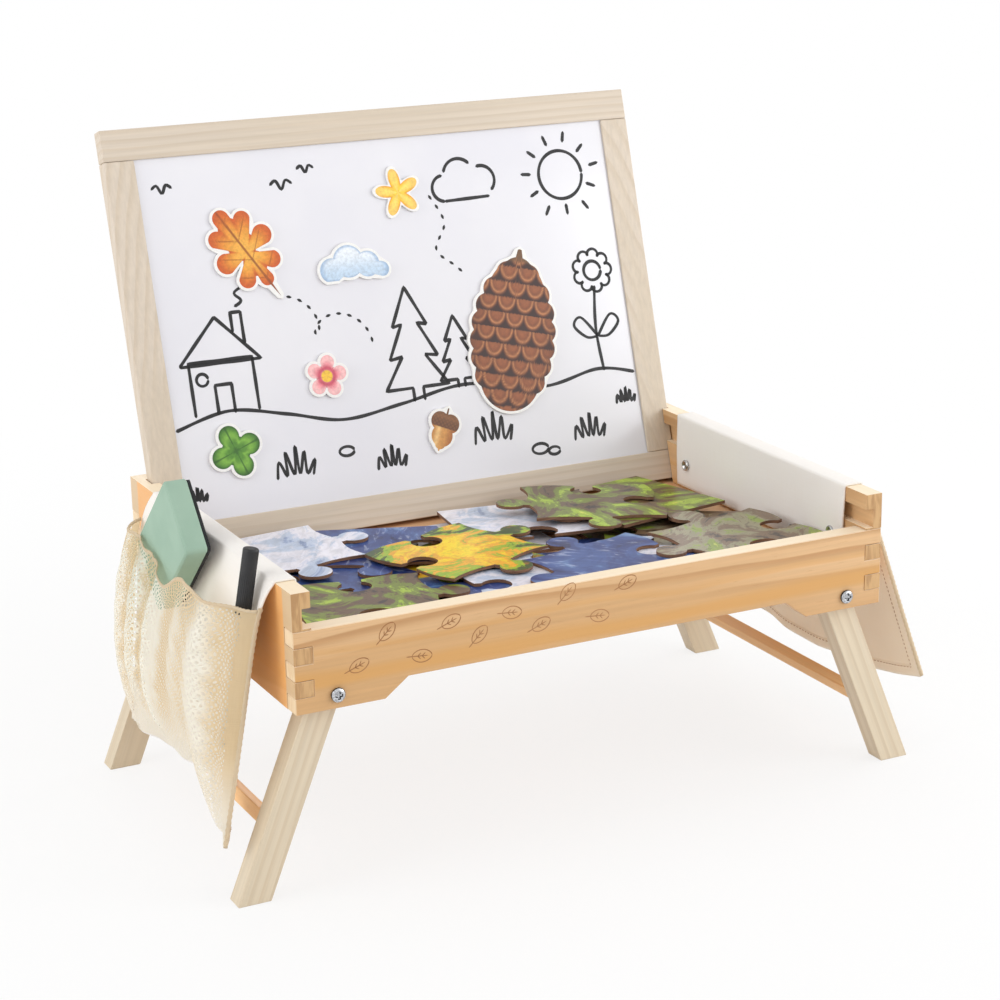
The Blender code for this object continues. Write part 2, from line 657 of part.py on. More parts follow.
def canvas_rows(side, hang, columns=19, steps=14):
    """Rows of the canvas, from the hem inside the tray, over the wall and down to the hem outside."""
    y = np.linspace(POUCH_Y0, POUCH_Y1, columns)
    flap_y = np.linspace(FLAP_Y0, FLAP_Y1, columns)
    skin = FIT_GAP + CANVAS_THICK / 2
    inside = WALL_INNER - skin
    outside = HALF_WIDTH + skin
    crown = WALL_TOP + skin
    rows = []

    def level_row(x, places, z):
        rows.append(np.stack([np.full(columns, side * x), places, np.full(columns, z)], axis=-1))

    for z in np.linspace(FLOOR_TOP + INNER_FLAP_LIFT, crown - SADDLE_RADIUS, 5):
        level_row(inside, flap_y, z)
    for a in np.linspace(0, math.pi / 2, 4)[1:]:
        in_by, down_by = SADDLE_RADIUS * (1 - math.cos(a)), SADDLE_RADIUS * (1 - math.sin(a))
        level_row(inside + in_by, flap_y, crown - down_by)
    for a in np.linspace(math.pi / 2, 0, 4):
        in_by, down_by = SADDLE_RADIUS * (1 - math.cos(a)), SADDLE_RADIUS * (1 - math.sin(a))
        level_row(outside - in_by, y, crown - down_by)
    hem = hem_drop(y, hang)
    for t in np.linspace(0, 1, steps)[1:] ** 1.35:
        drop = SADDLE_RADIUS + (hem - SADDLE_RADIUS) * t
        out = flap_out(drop - SADDLE_RADIUS, y, hang)
        rows.append(np.stack([side * (outside + out), y, crown - drop], axis=-1))
    return rows


def net_rows(side, hang, columns=19, steps=15):
    """Rows of the net, from its rim to the hem: sewn to the canvas at its ends and its foot, free at the rim."""
    y = np.linspace(POUCH_Y0, POUCH_Y1, columns)
    along = (y - POUCH_Y0) / POUCH_LENGTH
    skin = FIT_GAP + CANVAS_THICK / 2
    seam = 2 * FIT_GAP + (CANVAS_THICK + NET_THICK) / 2
    outside = HALF_WIDTH + skin
    crown = WALL_TOP + skin
    rim = rim_drop(y, hang)
    hem = hem_drop(y, hang) - 0.002
    spread = (1 - np.abs(2 * along - 1) ** 4) ** 0.8
    rows = []
    for t in np.linspace(0, 1, steps):
        drop = rim + (hem - rim) * t
        belly = (0.90 + 0.46 * t) * (1 - t ** 2.2)
        gather = 1 + 0.06 * np.sin(2 * math.pi * 3.3 * along + 0.5) * t
        out = flap_out(drop - SADDLE_RADIUS, y, hang) + seam + hang["bulge"] * spread * belly * gather
        rows.append(np.stack([side * (outside + out), y, crown - drop], axis=-1))
    return rows


def build_pouch(word, side, hang, table):
    canvas = loft_piece(word + "_canvas", canvas_rows(side, hang), CANVAS_THICK, CANVAS, table)
    loft_piece(word + "_net", net_rows(side, hang), NET_THICK, NET, table)
    cap = STUD_CAP / 2
    post = STUD_POST / 2
    dome = [(cap * math.cos(a), FIT_GAP + STUD_CAP_HEIGHT * math.sin(a)) for a in np.linspace(math.pi / 2, 0, 5)]
    dome[0] = (0, FIT_GAP + STUD_CAP_HEIGHT)
    profile = dome + [(post, FIT_GAP), (post, -STUD_POST_LENGTH), (0, -STUD_POST_LENGTH)]
    for end, y in zip(("front", "back"), stud_places()):
        cut(canvas, stud_hole(f"{word}_canvas_stud_hole_{end}", side, y, table))
        turned_piece(f"{word}_stud_{end}", profile, ZINC, table, (side * flap_face(), y, WALL_TOP - STUD_DROP),
                     (0, -side * math.pi / 2, 0), steps=20)


def build_marker(table):
    """Marker in the left pocket, cap up. Its own Z runs from its foot to its head."""
    foot = Vector((-HALF_WIDTH - MARKER_FOOT_OUT, -HALF_DEPTH + MARKER_FOOT_FROM_FRONT, 0))
    head = Vector((-HALF_WIDTH - MARKER_HEAD_OUT, -HALF_DEPTH + MARKER_HEAD_FROM_FRONT,
                   WALL_TOP + MARKER_HEAD_RISE))
    sideways = (head - foot).xy.length
    foot.z = head.z - math.sqrt(MARKER_LENGTH ** 2 - sideways ** 2)
    turn = (head - foot).to_track_quat("Z", "Y").to_euler()
    marker = new_empty("marker_slide", table, foot, turn)

    radius = MARKER_DIAMETER / 2
    bore = CAP_DIAMETER / 2 - CAP_WALL
    neck = bore - FIT_GAP
    shoulder = MARKER_LENGTH - CAP_LENGTH - FIT_GAP
    neck_top = shoulder + NECK_LENGTH
    nib = NIB_DIAMETER / 2
    socket = nib + FIT_GAP
    barrel = [(0, neck_top - NIB_SOCKET), (socket, neck_top - NIB_SOCKET), (socket, neck_top),
              (neck * 0.7, neck_top), (neck, neck_top - 0.004), (neck, shoulder), (radius, shoulder),
              (radius, 0.003), (radius - 0.001, 0), (0, 0)]
    turned_piece("marker_barrel", barrel, MARKER_WHITE, marker, (0, 0, 0), (0, 0, 0))
    nib_foot = neck_top - NIB_SOCKET + FIT_GAP
    tip = nib_foot + NIB_LENGTH
    point = [(0, tip), (nib * 0.35, tip - 0.0008), (nib, tip - 0.004), (nib, nib_foot), (0, nib_foot)]
    turned_piece("marker_nib", point, MARKER_INK, marker, (0, 0, 0), (0, 0, 0), steps=16)
    outer = CAP_DIAMETER / 2
    low = shoulder + FIT_GAP
    top = MARKER_LENGTH
    cap = [(0, top), (outer - 0.001, top), (outer, top - 0.001), (outer, low), (bore, low), (bore, top - 0.003),
           (0, top - 0.003)]
    turned_piece("marker_cap", cap, MARKER_GREY, marker, (0, 0, 0), (0, 0, 0))


def build_eraser(table):
    """Eraser in the left pocket, felt to the wall, turned on its corner."""
    y = -HALF_DEPTH + ERASER_FROM_FRONT
    z = WALL_TOP + ERASER_RISE
    carrier = new_empty("eraser_slide", table, (-HALF_WIDTH - ERASER_OUT, y, z))
    sine, cosine = math.sin(ERASER_TURN), math.cos(ERASER_TURN)

    def turned(points):
        return [(x * cosine - v * sine, x * sine + v * cosine) for x, v in points]

    block = turned(round_box(ERASER_LENGTH, ERASER_WIDTH, ERASER_CORNER))
    pad = turned(round_box(ERASER_LENGTH - 2 * FELT_INSET, ERASER_WIDTH - 2 * FELT_INSET, ERASER_CORNER - FELT_INSET))
    felt_out = FELT_THICK / 2
    block_out = FELT_THICK + FIT_GAP + ERASER_THICK / 2
    new_piece("eraser_felt", plate_mesh("eraser_felt", pad, FELT_THICK), FELT_BLACK, carrier, (-felt_out, 0, 0),
              FACING_SIDE)
    body = new_piece("eraser_block", plate_mesh("eraser_block", block, ERASER_THICK), ERASER_GREEN, carrier,
                     (-block_out, 0, 0), FACING_SIDE)
    ease_edges(body, 0.0012)


def jigsaw_side(length, kind, count=13):
    """One side of a jigsaw piece along +X, with its knob outwards (-Y) for kind 1, inwards for kind -1."""
    points = [(-length / 2, 0.0)]
    if kind:
        reach = math.sqrt(KNOB_RADIUS ** 2 - KNOB_NECK ** 2)
        opening = math.asin(KNOB_NECK / KNOB_RADIUS)
        for a in np.linspace(opening, 2 * math.pi - opening, count):
            points.append((-KNOB_RADIUS * math.sin(a), -kind * (reach - KNOB_RADIUS * math.cos(a))))
    return points


def jigsaw_outline(kinds):
    """Outline of a piece with knobs and sockets on its front, right, back and left sides."""
    outline = []
    for k, kind in enumerate(kinds):
        length = JIGSAW_LENGTH if k % 2 == 0 else JIGSAW_WIDTH
        away = JIGSAW_WIDTH / 2 if k % 2 == 0 else JIGSAW_LENGTH / 2
        turn = k * math.pi / 2
        sine, cosine = math.sin(turn), math.cos(turn)
        for x, y in jigsaw_side(length, kind):
            y -= away
            outline.append((x * cosine - y * sine, x * sine + y * cosine))
    return outline


def build_jigsaw(table):
    """Loose pieces heaped on the floor, each given by its place across and its row, its level in the heap, its turn,
    its leans about X and Y, and its knobs."""
    column = JIGSAW_COLUMN
    side = WALL_INNER - HEAP_SIDE
    pieces = (
        ("a", -column, -0.50, 0.0, 0, 0, 0, (0, 1, -1, 0), JIGSAW_GREEN),
        ("b", 0.0, -0.50, 0.0, 0, 0, 0, (0, -1, 1, -1), JIGSAW_BROWN),
        ("c", column, -0.50, 0.0, 0, 0, 0, (0, 0, -1, 1), JIGSAW_YELLOW),
        ("d", -column, 0.50, 0.0, 0, 0, 0, (1, -1, 0, 0), JIGSAW_BLUE),
        ("e", 0.0, 0.50, 0.0, 0, 0, 0, (-1, 1, 0, 1), JIGSAW_WHITE),
        ("f", column, 0.50, 0.0, 0, 0, 0, (1, 0, 0, -1), JIGSAW_GREEN),
        ("g", 0.41 * column, -0.46, 1.0, -14, 0, 0, (0, -1, 1, 1), JIGSAW_BLUE),
        ("h", -0.90 * column, 0.50, 1.0, 10, 0, 0, (-1, 1, 0, -1), JIGSAW_WHITE),
        ("i", -0.33 * column, 0.00, 2.0, 24, 0, 0, (1, -1, -1, 1), JIGSAW_YELLOW),
        ("j", side, -0.08, 2.2, -26, 0, 1, (1, -1, 1, -1), JIGSAW_BROWN),
        ("k", 0.33 * column, 0.49, 3.6, -9, -2, 0, (-1, 1, 0, 0), JIGSAW_WHITE),
        ("l", side, 0.47, 4.5, 15, 0, 2, (1, 0, -1, 1), JIGSAW_GREEN),
    )
    for letter, x, row, level, degrees, lean_x, lean_y, kinds, look in pieces:
        name = "jigsaw_" + letter
        y = JIGSAW_MIDDLE + row * JIGSAW_ROW
        z = FLOOR_TOP + FIT_GAP + JIGSAW_THICK / 2 + level * (JIGSAW_THICK + FIT_GAP)
        new_piece(name, plate_mesh(name, jigsaw_outline(kinds), JIGSAW_THICK), look, table, (x, y, z),
                  (math.radians(lean_x), math.radians(lean_y), math.radians(degrees)))


clear_scene()
PARTS = new_collection("activity_table")
CUTTERS = new_collection("activity_table_cutters")

PINE = finish("pine", (0.66, 0.42, 0.20), 0.5)
PLYWOOD = finish("plywood", (0.72, 0.52, 0.32), 0.6)
BARE_WOOD = finish("bare_wood", (0.64, 0.38, 0.15), 0.55)
CREAM_PAINT = finish("cream_paint", (0.76, 0.66, 0.50), 0.5)
DRY_ERASE = finish("dry_erase", (0.85, 0.85, 0.88), 0.15)
ZINC = finish("zinc", (0.75, 0.76, 0.78), 0.25, 1.0)
CANVAS = finish("canvas", (0.84, 0.77, 0.70), 0.9)
NET = finish("net", (0.85, 0.73, 0.52), 0.9)
MARKER_WHITE = finish("marker_white", (0.85, 0.84, 0.82), 0.35)
MARKER_GREY = finish("marker_grey", (0.03, 0.03, 0.03), 0.4)
MARKER_INK = finish("marker_ink", (0.01, 0.01, 0.01), 0.8)
ERASER_GREEN = finish("eraser_green", (0.40, 0.62, 0.48), 0.7)
FELT_BLACK = finish("felt_black", (0.02, 0.02, 0.02), 1.0)
CONE_BROWN = finish("cone_brown", (0.22, 0.08, 0.04), 0.6)
LEAF_ORANGE = finish("leaf_orange", (0.70, 0.28, 0.05), 0.6)
LEAF_GREEN = finish("leaf_green", (0.15, 0.36, 0.05), 0.6)
STAR_YELLOW = finish("star_yellow", (0.85, 0.55, 0.08), 0.6)
CLOUD_BLUE = finish("cloud_blue", (0.40, 0.55, 0.72), 0.6)
FLOWER_PINK = finish("flower_pink", (0.75, 0.30, 0.34), 0.6)
JIGSAW_BLUE = finish("jigsaw_blue", (0.12, 0.25, 0.55), 0.5)
JIGSAW_GREEN = finish("jigsaw_green", (0.32, 0.50, 0.10), 0.5)
JIGSAW_YELLOW = finish("jigsaw_yellow", (0.80, 0.60, 0.08), 0.5)
JIGSAW_BROWN = finish("jigsaw_brown", (0.30, 0.22, 0.16), 0.5)
JIGSAW_WHITE = finish("jigsaw_white", (0.75, 0.76, 0.80), 0.5)

TABLE = new_empty("table_middle", None, (0, FRAME_SHIFT, 0))
build_tray(TABLE)
for WORD, SIDE in SIDES:
    build_leg_frame(WORD, SIDE, TABLE)
    build_pivot_hardware(WORD, SIDE, TABLE)
build_board(TABLE)
build_pouch("left", -1, LEFT_HANG, TABLE)
build_pouch("right", 1, RIGHT_HANG, TABLE)
build_marker(TABLE)
build_eraser(TABLE)
build_jigsaw(TABLE)
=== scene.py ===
import math
import bpy
import numpy as np
from mathutils import Matrix


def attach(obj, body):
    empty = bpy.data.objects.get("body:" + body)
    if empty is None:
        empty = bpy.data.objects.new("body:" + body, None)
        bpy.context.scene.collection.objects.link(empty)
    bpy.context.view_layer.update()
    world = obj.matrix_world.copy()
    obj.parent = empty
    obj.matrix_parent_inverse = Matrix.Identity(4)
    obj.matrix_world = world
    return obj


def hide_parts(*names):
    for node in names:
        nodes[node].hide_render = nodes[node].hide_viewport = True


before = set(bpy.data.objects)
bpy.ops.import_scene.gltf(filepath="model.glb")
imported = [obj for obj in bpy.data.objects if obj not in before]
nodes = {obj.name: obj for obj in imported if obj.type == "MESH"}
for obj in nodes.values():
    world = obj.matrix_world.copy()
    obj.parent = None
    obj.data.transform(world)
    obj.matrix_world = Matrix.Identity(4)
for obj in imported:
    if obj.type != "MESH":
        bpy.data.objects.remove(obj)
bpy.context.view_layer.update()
print("frame loaded:", len(nodes), "nodes")

# sizes shared by the pieces, in metres; y is counted from the tray's middle and moved by shiftY
table = {"shiftY": -0.0271933, "halfWidth": 0.225, "halfDepth": 0.157, "wallInner": 0.212, "wallTop": 0.214,
         "floorTop": 0.1564, "fitGap": 0.0003, "pivotX": 0.196, "pivotZ": 0.1415}
sideSigns = (("left", -1), ("right", 1))
legSplay = math.radians(22.2)
boardLean = math.radians(16.5)


# numbers and meshes

def colour(red, green, blue):  # 0-255 as seen on a screen, to the linear value a shader takes
    seen = np.array([red, green, blue]) / 255.0
    linear = np.where(seen <= 0.04045, seen / 12.92, ((seen + 0.055) / 1.055) ** 2.4)
    return (float(linear[0]), float(linear[1]), float(linear[2]), 1.0)


def ease(value, low, high):  # smooth step from 0 at low to 1 at high
    t = np.clip((value - low) / (high - low), 0.0, 1.0)
    return t * t * (3 - 2 * t)


def hump(value, centre, width):  # bell curve
    return np.exp(-((value - centre) / width) ** 2)


def joined(*coordinates):  # numbers and arrays, spread to one shape and set side by side as points or faces
    return np.stack(np.broadcast_arrays(*coordinates), axis=-1)


def unit(vectors):  # each vector divided by its length
    return vectors / np.maximum(np.linalg.norm(vectors, axis=-1, keepdims=True), 1e-12)


def turned(x, y, angle):  # x and y turned round the middle
    c, s = math.cos(angle), math.sin(angle)
    return x * c - y * s, x * s + y * c


def fullTurn(count):  # angles once round
    return np.linspace(0, 2 * np.pi, count, endpoint=False)


def toned(*steps):  # blends colours, each step a colour and the share of it
    made = np.array(colour(*steps[0])[:3])
    for tone, share in steps[1:]:
        share = np.asarray(share)[..., None]
        made = made * (1 - share) + np.array(colour(*tone)[:3]) * share
    return made


def gridFaces(rows, cols, closeCols=False):  # quads over a grid of points
    index = np.arange(rows * cols).reshape(rows, cols)
    if closeCols:
        index = np.concatenate([index, index[:, :1]], axis=1)
    return joined(index[:-1, :-1], index[:-1, 1:], index[1:, 1:], index[1:, :-1]).reshape(-1, 4)


def putMesh(name, points, faces, look, body, uv=None, tint=None):
    # groups of faces over one list of points, with a finish, a body, and a UV map or a tint by point
    points = np.asarray(points, float).reshape(-1, 3)
    mesh = bpy.data.meshes.new(name)
    mesh.from_pydata(points.tolist(), [], [face for group in faces for face in np.asarray(group).tolist()])
    mesh.shade_smooth()
    if uv is not None:
        corner = np.empty(len(mesh.loops), np.int32)
        mesh.loops.foreach_get("vertex_index", corner)
        layer = mesh.uv_layers.new(name="uv")
        layer.data.foreach_set("uv", np.asarray(uv, np.float32).reshape(-1, 2)[corner].ravel())
    if tint is not None:
        layer = mesh.color_attributes.new("tint", "FLOAT_COLOR", "POINT")
        layer.data.foreach_set("color", joined(*np.asarray(tint, np.float32).T, np.float32(1.0)).ravel())
    mesh.materials.append(look)
    made = bpy.data.objects.new(name, mesh)
    bpy.context.scene.collection.objects.link(made)
    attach(made, body)
    return made


def thicken(piece, thick):  # a sheet gets its thickness evenly on both sides
    shell = piece.modifiers.new("thickness", "SOLIDIFY")
    shell.thickness = thick
    shell.offset = 0.0


def arcLength(path):  # distance along a path, from its start
    steps = np.linalg.norm(np.diff(path, axis=0), axis=1)
    return np.concatenate([[0.0], np.cumsum(steps)])


def along(path, places):  # points at given distances along a path
    done = arcLength(path)
    return joined(*[np.interp(places, done, values) for values in path.T])


stroke = {"step": 0.0012, "tip": 0.25, "uneven": 0.10}


def strokes(name, lines, onFace, look, body, proud):
    # each line is a path on a flat face with a width: a low box profile carried along it, round at both ends
    points, quads, ends, start = [], [], [], 0
    for path, width in lines:
        total = arcLength(path)[-1]
        count = max(4, int(total / stroke["step"]))
        place = np.linspace(0, total, count)
        path = along(path, place)
        tangent = unit(np.gradient(path, axis=0))
        side = joined(-tangent[:, 1], tangent[:, 0])
        reach = np.minimum(np.minimum(place, total - place) / (width / 2), 1.0)
        half = width / 2 * np.maximum(np.sqrt(1 - (1 - reach) ** 2), stroke["tip"])
        half = half * (1 + stroke["uneven"] * np.sin(place * 210.0 + total * 900.0))  # the hand isn't even
        left, right = path + side * half[:, None], path - side * half[:, None]
        corners = [onFace(left, 0.0), onFace(left, proud), onFace(right, proud), onFace(right, 0.0)]
        points.append(np.stack(corners, axis=1).reshape(-1, 3))
        quads.append(gridFaces(count, 4, closeCols=True) + start)
        first = start + np.arange(4)
        ends.append(np.stack([first[::-1], first + 4 * (count - 1)]))
        start += 4 * count
    faces = [np.concatenate(quads), np.concatenate(ends)]
    made = putMesh(name, np.concatenate(points), faces, look, body)
    made.data.shade_flat()
    return made


def turnedShape(name, radius, height, place, axis, look, body, count, relief=None):
    # a profile of radius and height carried round an axis; relief lowers it by place across the axis
    axis = unit(np.asarray(axis, float))
    side = unit(np.cross(axis, [0.0, 0.0, 1.0] if abs(axis[2]) < 0.9 else [0.0, 1.0, 0.0]))
    other = np.cross(axis, side)
    turn = fullTurn(count)
    grow, high = (np.repeat(np.asarray(given, float)[:, None], count, axis=1) for given in (radius, height))
    if relief:
        grow, high = relief(grow, high, turn[None, :])
    rings = (np.asarray(place) + axis * high[..., None] + side * (grow * np.cos(turn))[..., None]
             + other * (grow * np.sin(turn))[..., None])
    poles = np.asarray(place) + axis * np.array([[high[0].mean()], [high[-1].mean()]])
    points = np.concatenate([rings.reshape(-1, 3), poles])
    size = len(radius) * count
    first = np.arange(count)
    last = first + size - count
    fans = joined(size, np.roll(first, -1), first), joined(size + 1, last, np.roll(last, -1))
    faces = [group[:, ::-1] for group in (gridFaces(len(radius), count, closeCols=True), *fans)]
    return putMesh(name, points, faces, look, body)


# shader nodes

plainWhite = (1, 1, 1, 1)


def setSocket(tree, socket, value):  # a link from another socket, or a constant
    if isinstance(value, bpy.types.NodeSocket):
        tree.links.new(value, socket)
    elif value is not None:
        socket.default_value = value


def feed(tree, shader, **values):  # sockets by name, with _ for a space
    for key, value in values.items():
        setSocket(tree, shader[key.replace("_", " ")], value)


def node(tree, kind, values=None, **options):
    made = tree.nodes.new("ShaderNode" + kind)
    for key, value in options.items():
        setattr(made, key, value)
    for key, value in (values or {}).items():
        setSocket(tree, made.inputs[key], value)
    return made


def sums(tree, operation, a, b=0.0):
    return node(tree, "Math", {0: a, 1: b}, operation=operation).outputs[0]


def times(tree, a, b):
    return sums(tree, "MULTIPLY", a, b)


def plus(tree, a, b):
    return sums(tree, "ADD", a, b)


def split(tree, vector):
    return node(tree, "SeparateXYZ", {0: vector}).outputs


def lengthOf(tree, vector):
    return node(tree, "VectorMath", {0: vector}, operation="LENGTH").outputs["Value"]


def vectorTimes(tree, a, b):
    return node(tree, "VectorMath", {0: a, 1: b}, operation="MULTIPLY").outputs[0]


def objectCoords(tree):
    return node(tree, "TexCoord").outputs["Object"]


def mixed(tree, share, a, b, blend="MIX"):
    return node(tree, "Mix", {0: share, 6: a, 7: b}, data_type="RGBA", blend_type=blend).outputs[2]


def span(tree, value, low, high, toLow=0.0, toHigh=1.0):  # smooth step from toLow at low to toHigh at high
    values = {0: value, 1: low, 2: high, 3: toLow, 4: toHigh}
    return node(tree, "MapRange", values, interpolation_type="SMOOTHSTEP").outputs[0]


def between(tree, value, start, full, fade, end):  # rises from start to full, falls from fade to end
    return times(tree, span(tree, value, start, full), span(tree, value, end, fade))


def stretched(tree, vector, scale, place=(0, 0, 0), turn=(0, 0, 0)):
    values = {"Vector": vector, "Location": place, "Rotation": turn, "Scale": scale}
    return node(tree, "Mapping", values).outputs[0]


def noise(tree, vector, scale, detail=2.0, rough=0.5, distort=0.0, place=(0, 0, 0), turn=(0, 0, 0)):
    if isinstance(scale, tuple):  # one scale for each axis
        vector, scale = stretched(tree, vector, scale, place, turn), 1.0
    values = {"Vector": vector, "Scale": scale, "Detail": detail, "Roughness": rough, "Distortion": distort}
    return node(tree, "TexNoise", values).outputs[0]


def dimmed(tree, tone, value, low, high, toLow, toHigh):  # a colour times a grey that follows a value
    share = span(tree, value, low, high, toLow, toHigh)
    grey = node(tree, "CombineColor", {0: share, 1: share, 2: share}).outputs[0]
    return mixed(tree, 1.0, tone, grey, "MULTIPLY")


def bump(tree, height, strength, distance):
    return node(tree, "Bump", {"Height": height, "Strength": strength, "Distance": distance}).outputs[0]


def newGroup(name, inputs, outputs):
    tree = bpy.data.node_groups.new(name, "ShaderNodeTree")
    for label, kind, value in inputs:
        made = tree.interface.new_socket(label, in_out="INPUT", socket_type="NodeSocket" + kind)
        made.default_value = value
    for label, kind in outputs:
        tree.interface.new_socket(label, in_out="OUTPUT", socket_type="NodeSocket" + kind)
    return tree, tree.nodes.new("NodeGroupInput").outputs, tree.nodes.new("NodeGroupOutput").inputs


def useGroup(tree, group, values):
    made = tree.nodes.new("ShaderNodeGroup")
    made.node_tree = group
    for key, value in values.items():
        setSocket(tree, made.inputs[key], value)
    return made.outputs


def newLook(name, rough, **constants):
    look = bpy.data.materials.new(name)
    look.use_nodes = True
    shader = look.node_tree.nodes["Principled BSDF"].inputs
    feed(look.node_tree, shader, Roughness=rough, **constants)
    return look, look.node_tree, shader


def blendOut(look, share, other):  # the material's own shader, with a share of another one
    tree = look.node_tree
    values = {0: share, 1: tree.nodes["Principled BSDF"].outputs[0], 2: other.outputs[0]}
    blended = node(tree, "MixShader", values)
    tree.links.new(blended.outputs[0], tree.nodes["Material Output"].inputs[0])


def dress(look, *names):  # a finish for CAD nodes that stay
    for name in names:
        nodes[name].data.materials.clear()
        nodes[name].data.materials.append(look)


# grain along X: growth rings as sheets round a line beside the board, fine fibres and short dark flecks
def makeWoodGrain():
    tree, given, out = newGroup("woodGrain", (
        ("Vector", "Vector", (0, 0, 0)), ("Early", "Color", plainWhite), ("Late", "Color", plainWhite),
        ("Warm", "Color", plainWhite), ("Rings", "Float", 200.0), ("Wander", "Float", 1.0),
        ("Fleck", "Float", 0.3)), (("Color", "Color"), ("Height", "Float")))
    vector = given["Vector"]
    slow = noise(tree, vector, (3.0, 16.0, 16.0))
    broad = noise(tree, vector, (1.6, 26.0, 26.0), 1.0, place=(3.1, 0.7, 0.2))
    distance = lengthOf(tree, vectorTimes(tree, vector, (0.05, 1.0, 1.0)))
    waved = times(tree, sums(tree, "SUBTRACT", slow, 0.5), given["Wander"])
    rings = sums(tree, "FRACT", plus(tree, times(tree, distance, given["Rings"]), waved))
    late = between(tree, rings, 0.30, 0.90, 0.91, 1.0)
    fibre = noise(tree, vector, (9.0, 420.0, 420.0), 3.0, 0.6)
    dash = span(tree, noise(tree, vector, (70.0, 1300.0, 1300.0), 1.0), 0.66, 0.75)
    tone = mixed(tree, times(tree, late, 0.7), given["Early"], given["Late"])
    tone = mixed(tree, span(tree, broad, 0.42, 0.66), tone, given["Warm"])
    tone = dimmed(tree, tone, fibre, 0.25, 0.75, 0.93, 1.03)
    tone = mixed(tree, times(tree, dash, given["Fleck"]), tone, given["Late"])
    feed(tree, out, Color=tone, Height=plus(tree, times(tree, late, 0.4), fibre))
    return tree


# woven cloth on a UV map in metres: threads over and under each other, uneven yarn
def makeClothWeave():
    tree, given, out = newGroup("clothWeave", (
        ("Vector", "Vector", (0, 0, 0)), ("Pitch", "Float", 0.0006), ("Colour", "Color", plainWhite),
        ("Shade", "Color", plainWhite)), (("Color", "Color"), ("Height", "Float")))
    vector = given["Vector"]
    parts = split(tree, vector)
    step = sums(tree, "DIVIDE", 2 * math.pi, given["Pitch"])
    across, down = (sums(tree, "SINE", times(tree, parts[k], step)) for k in (0, 1))
    yarn = plus(tree, noise(tree, vector, (40.0, 1400.0, 1.0)), noise(tree, vector, (1400.0, 40.0, 1.0)))
    cloudy = noise(tree, vector, 22.0, 3.0)
    mark = plus(tree, times(tree, yarn, 0.5), times(tree, cloudy, 0.5))
    tone = mixed(tree, span(tree, mark, 0.62, 1.25), given["Colour"], given["Shade"])
    feed(tree, out, Color=tone, Height=plus(tree, times(tree, across, down), times(tree, yarn, 0.8)))
    return tree


# painted picture: a noise field, drawn out along the strokes and raised with distance from the middle, picks
# one of five colours; thin streaks of a sixth lie over it
paintLabels = ("One", "Two", "Three", "Four", "Five", "Line")


def makePaintedPrint():
    tree, given, out = newGroup("paintedPrint", (
        ("Vector", "Vector", (0, 0, 0)), ("Draw", "Vector", (10, 10, 10)),
        ("Streak", "Vector", (30, 300, 30)), *[(label, "Color", plainWhite) for label in paintLabels],
        ("Soft", "Float", 0.03), ("Round", "Float", 0.0), ("Streaks", "Float", 0.5), ("Bend", "Float", 1.0)),
        (("Color", "Color"),))
    vector = given["Vector"]
    large = noise(tree, vectorTimes(tree, vector, given["Draw"]), 1.0, 6.0, 0.64, given["Bend"])
    off = sums(tree, "SUBTRACT", lengthOf(tree, vector), 0.030)
    field = plus(tree, large, times(tree, off, given["Round"]))
    tone = given["One"]
    for label, limit in (("Two", 0.40), ("Three", 0.48), ("Four", 0.55), ("Five", 0.63)):
        low, high = sums(tree, "SUBTRACT", limit, given["Soft"]), plus(tree, limit, given["Soft"])
        tone = mixed(tree, span(tree, field, low, high), tone, given[label])
    brush = noise(tree, vectorTimes(tree, vector, given["Streak"]), 1.0, 3.0, 0.65, 0.8)
    tone = dimmed(tree, tone, brush, 0.3, 0.7, 0.84, 1.12)
    streaks = times(tree, span(tree, brush, 0.57, 0.66), given["Streaks"])
    feed(tree, out, Color=mixed(tree, streaks, tone, given["Line"]))
    return tree


woodGrain = makeWoodGrain()
clothWeave = makeClothWeave()
paintedPrint = makePaintedPrint()


# finishes

# heights of the golden band and the faint streak above it; how far in the pale strip at a wall's ends reaches
pine = {"early": colour(222, 181, 134), "late": colour(182, 132, 80), "warm": colour(209, 165, 114),
        "low": colour(212, 158, 88), "side": colour(244, 178, 104), "strip": colour(216, 192, 156),
        "top": colour(252, 235, 206), "rings": 150.0, "wander": 2.6, "fleck": 0.34, "ragged": 0.020,
        "band": (0.155, 0.160, 0.163, 0.172), "streak": (0.179, 0.181, 0.182, 0.187), "gold": 0.75,
        "stripFrom": (0.1405, 0.1435), "pouchShadeShare": 0.7, "topLightShare": 0.9}
railEnd = (colour(240, 216, 180), colour(230, 202, 162))
wallEnd = (colour(206, 166, 116), colour(180, 138, 92))


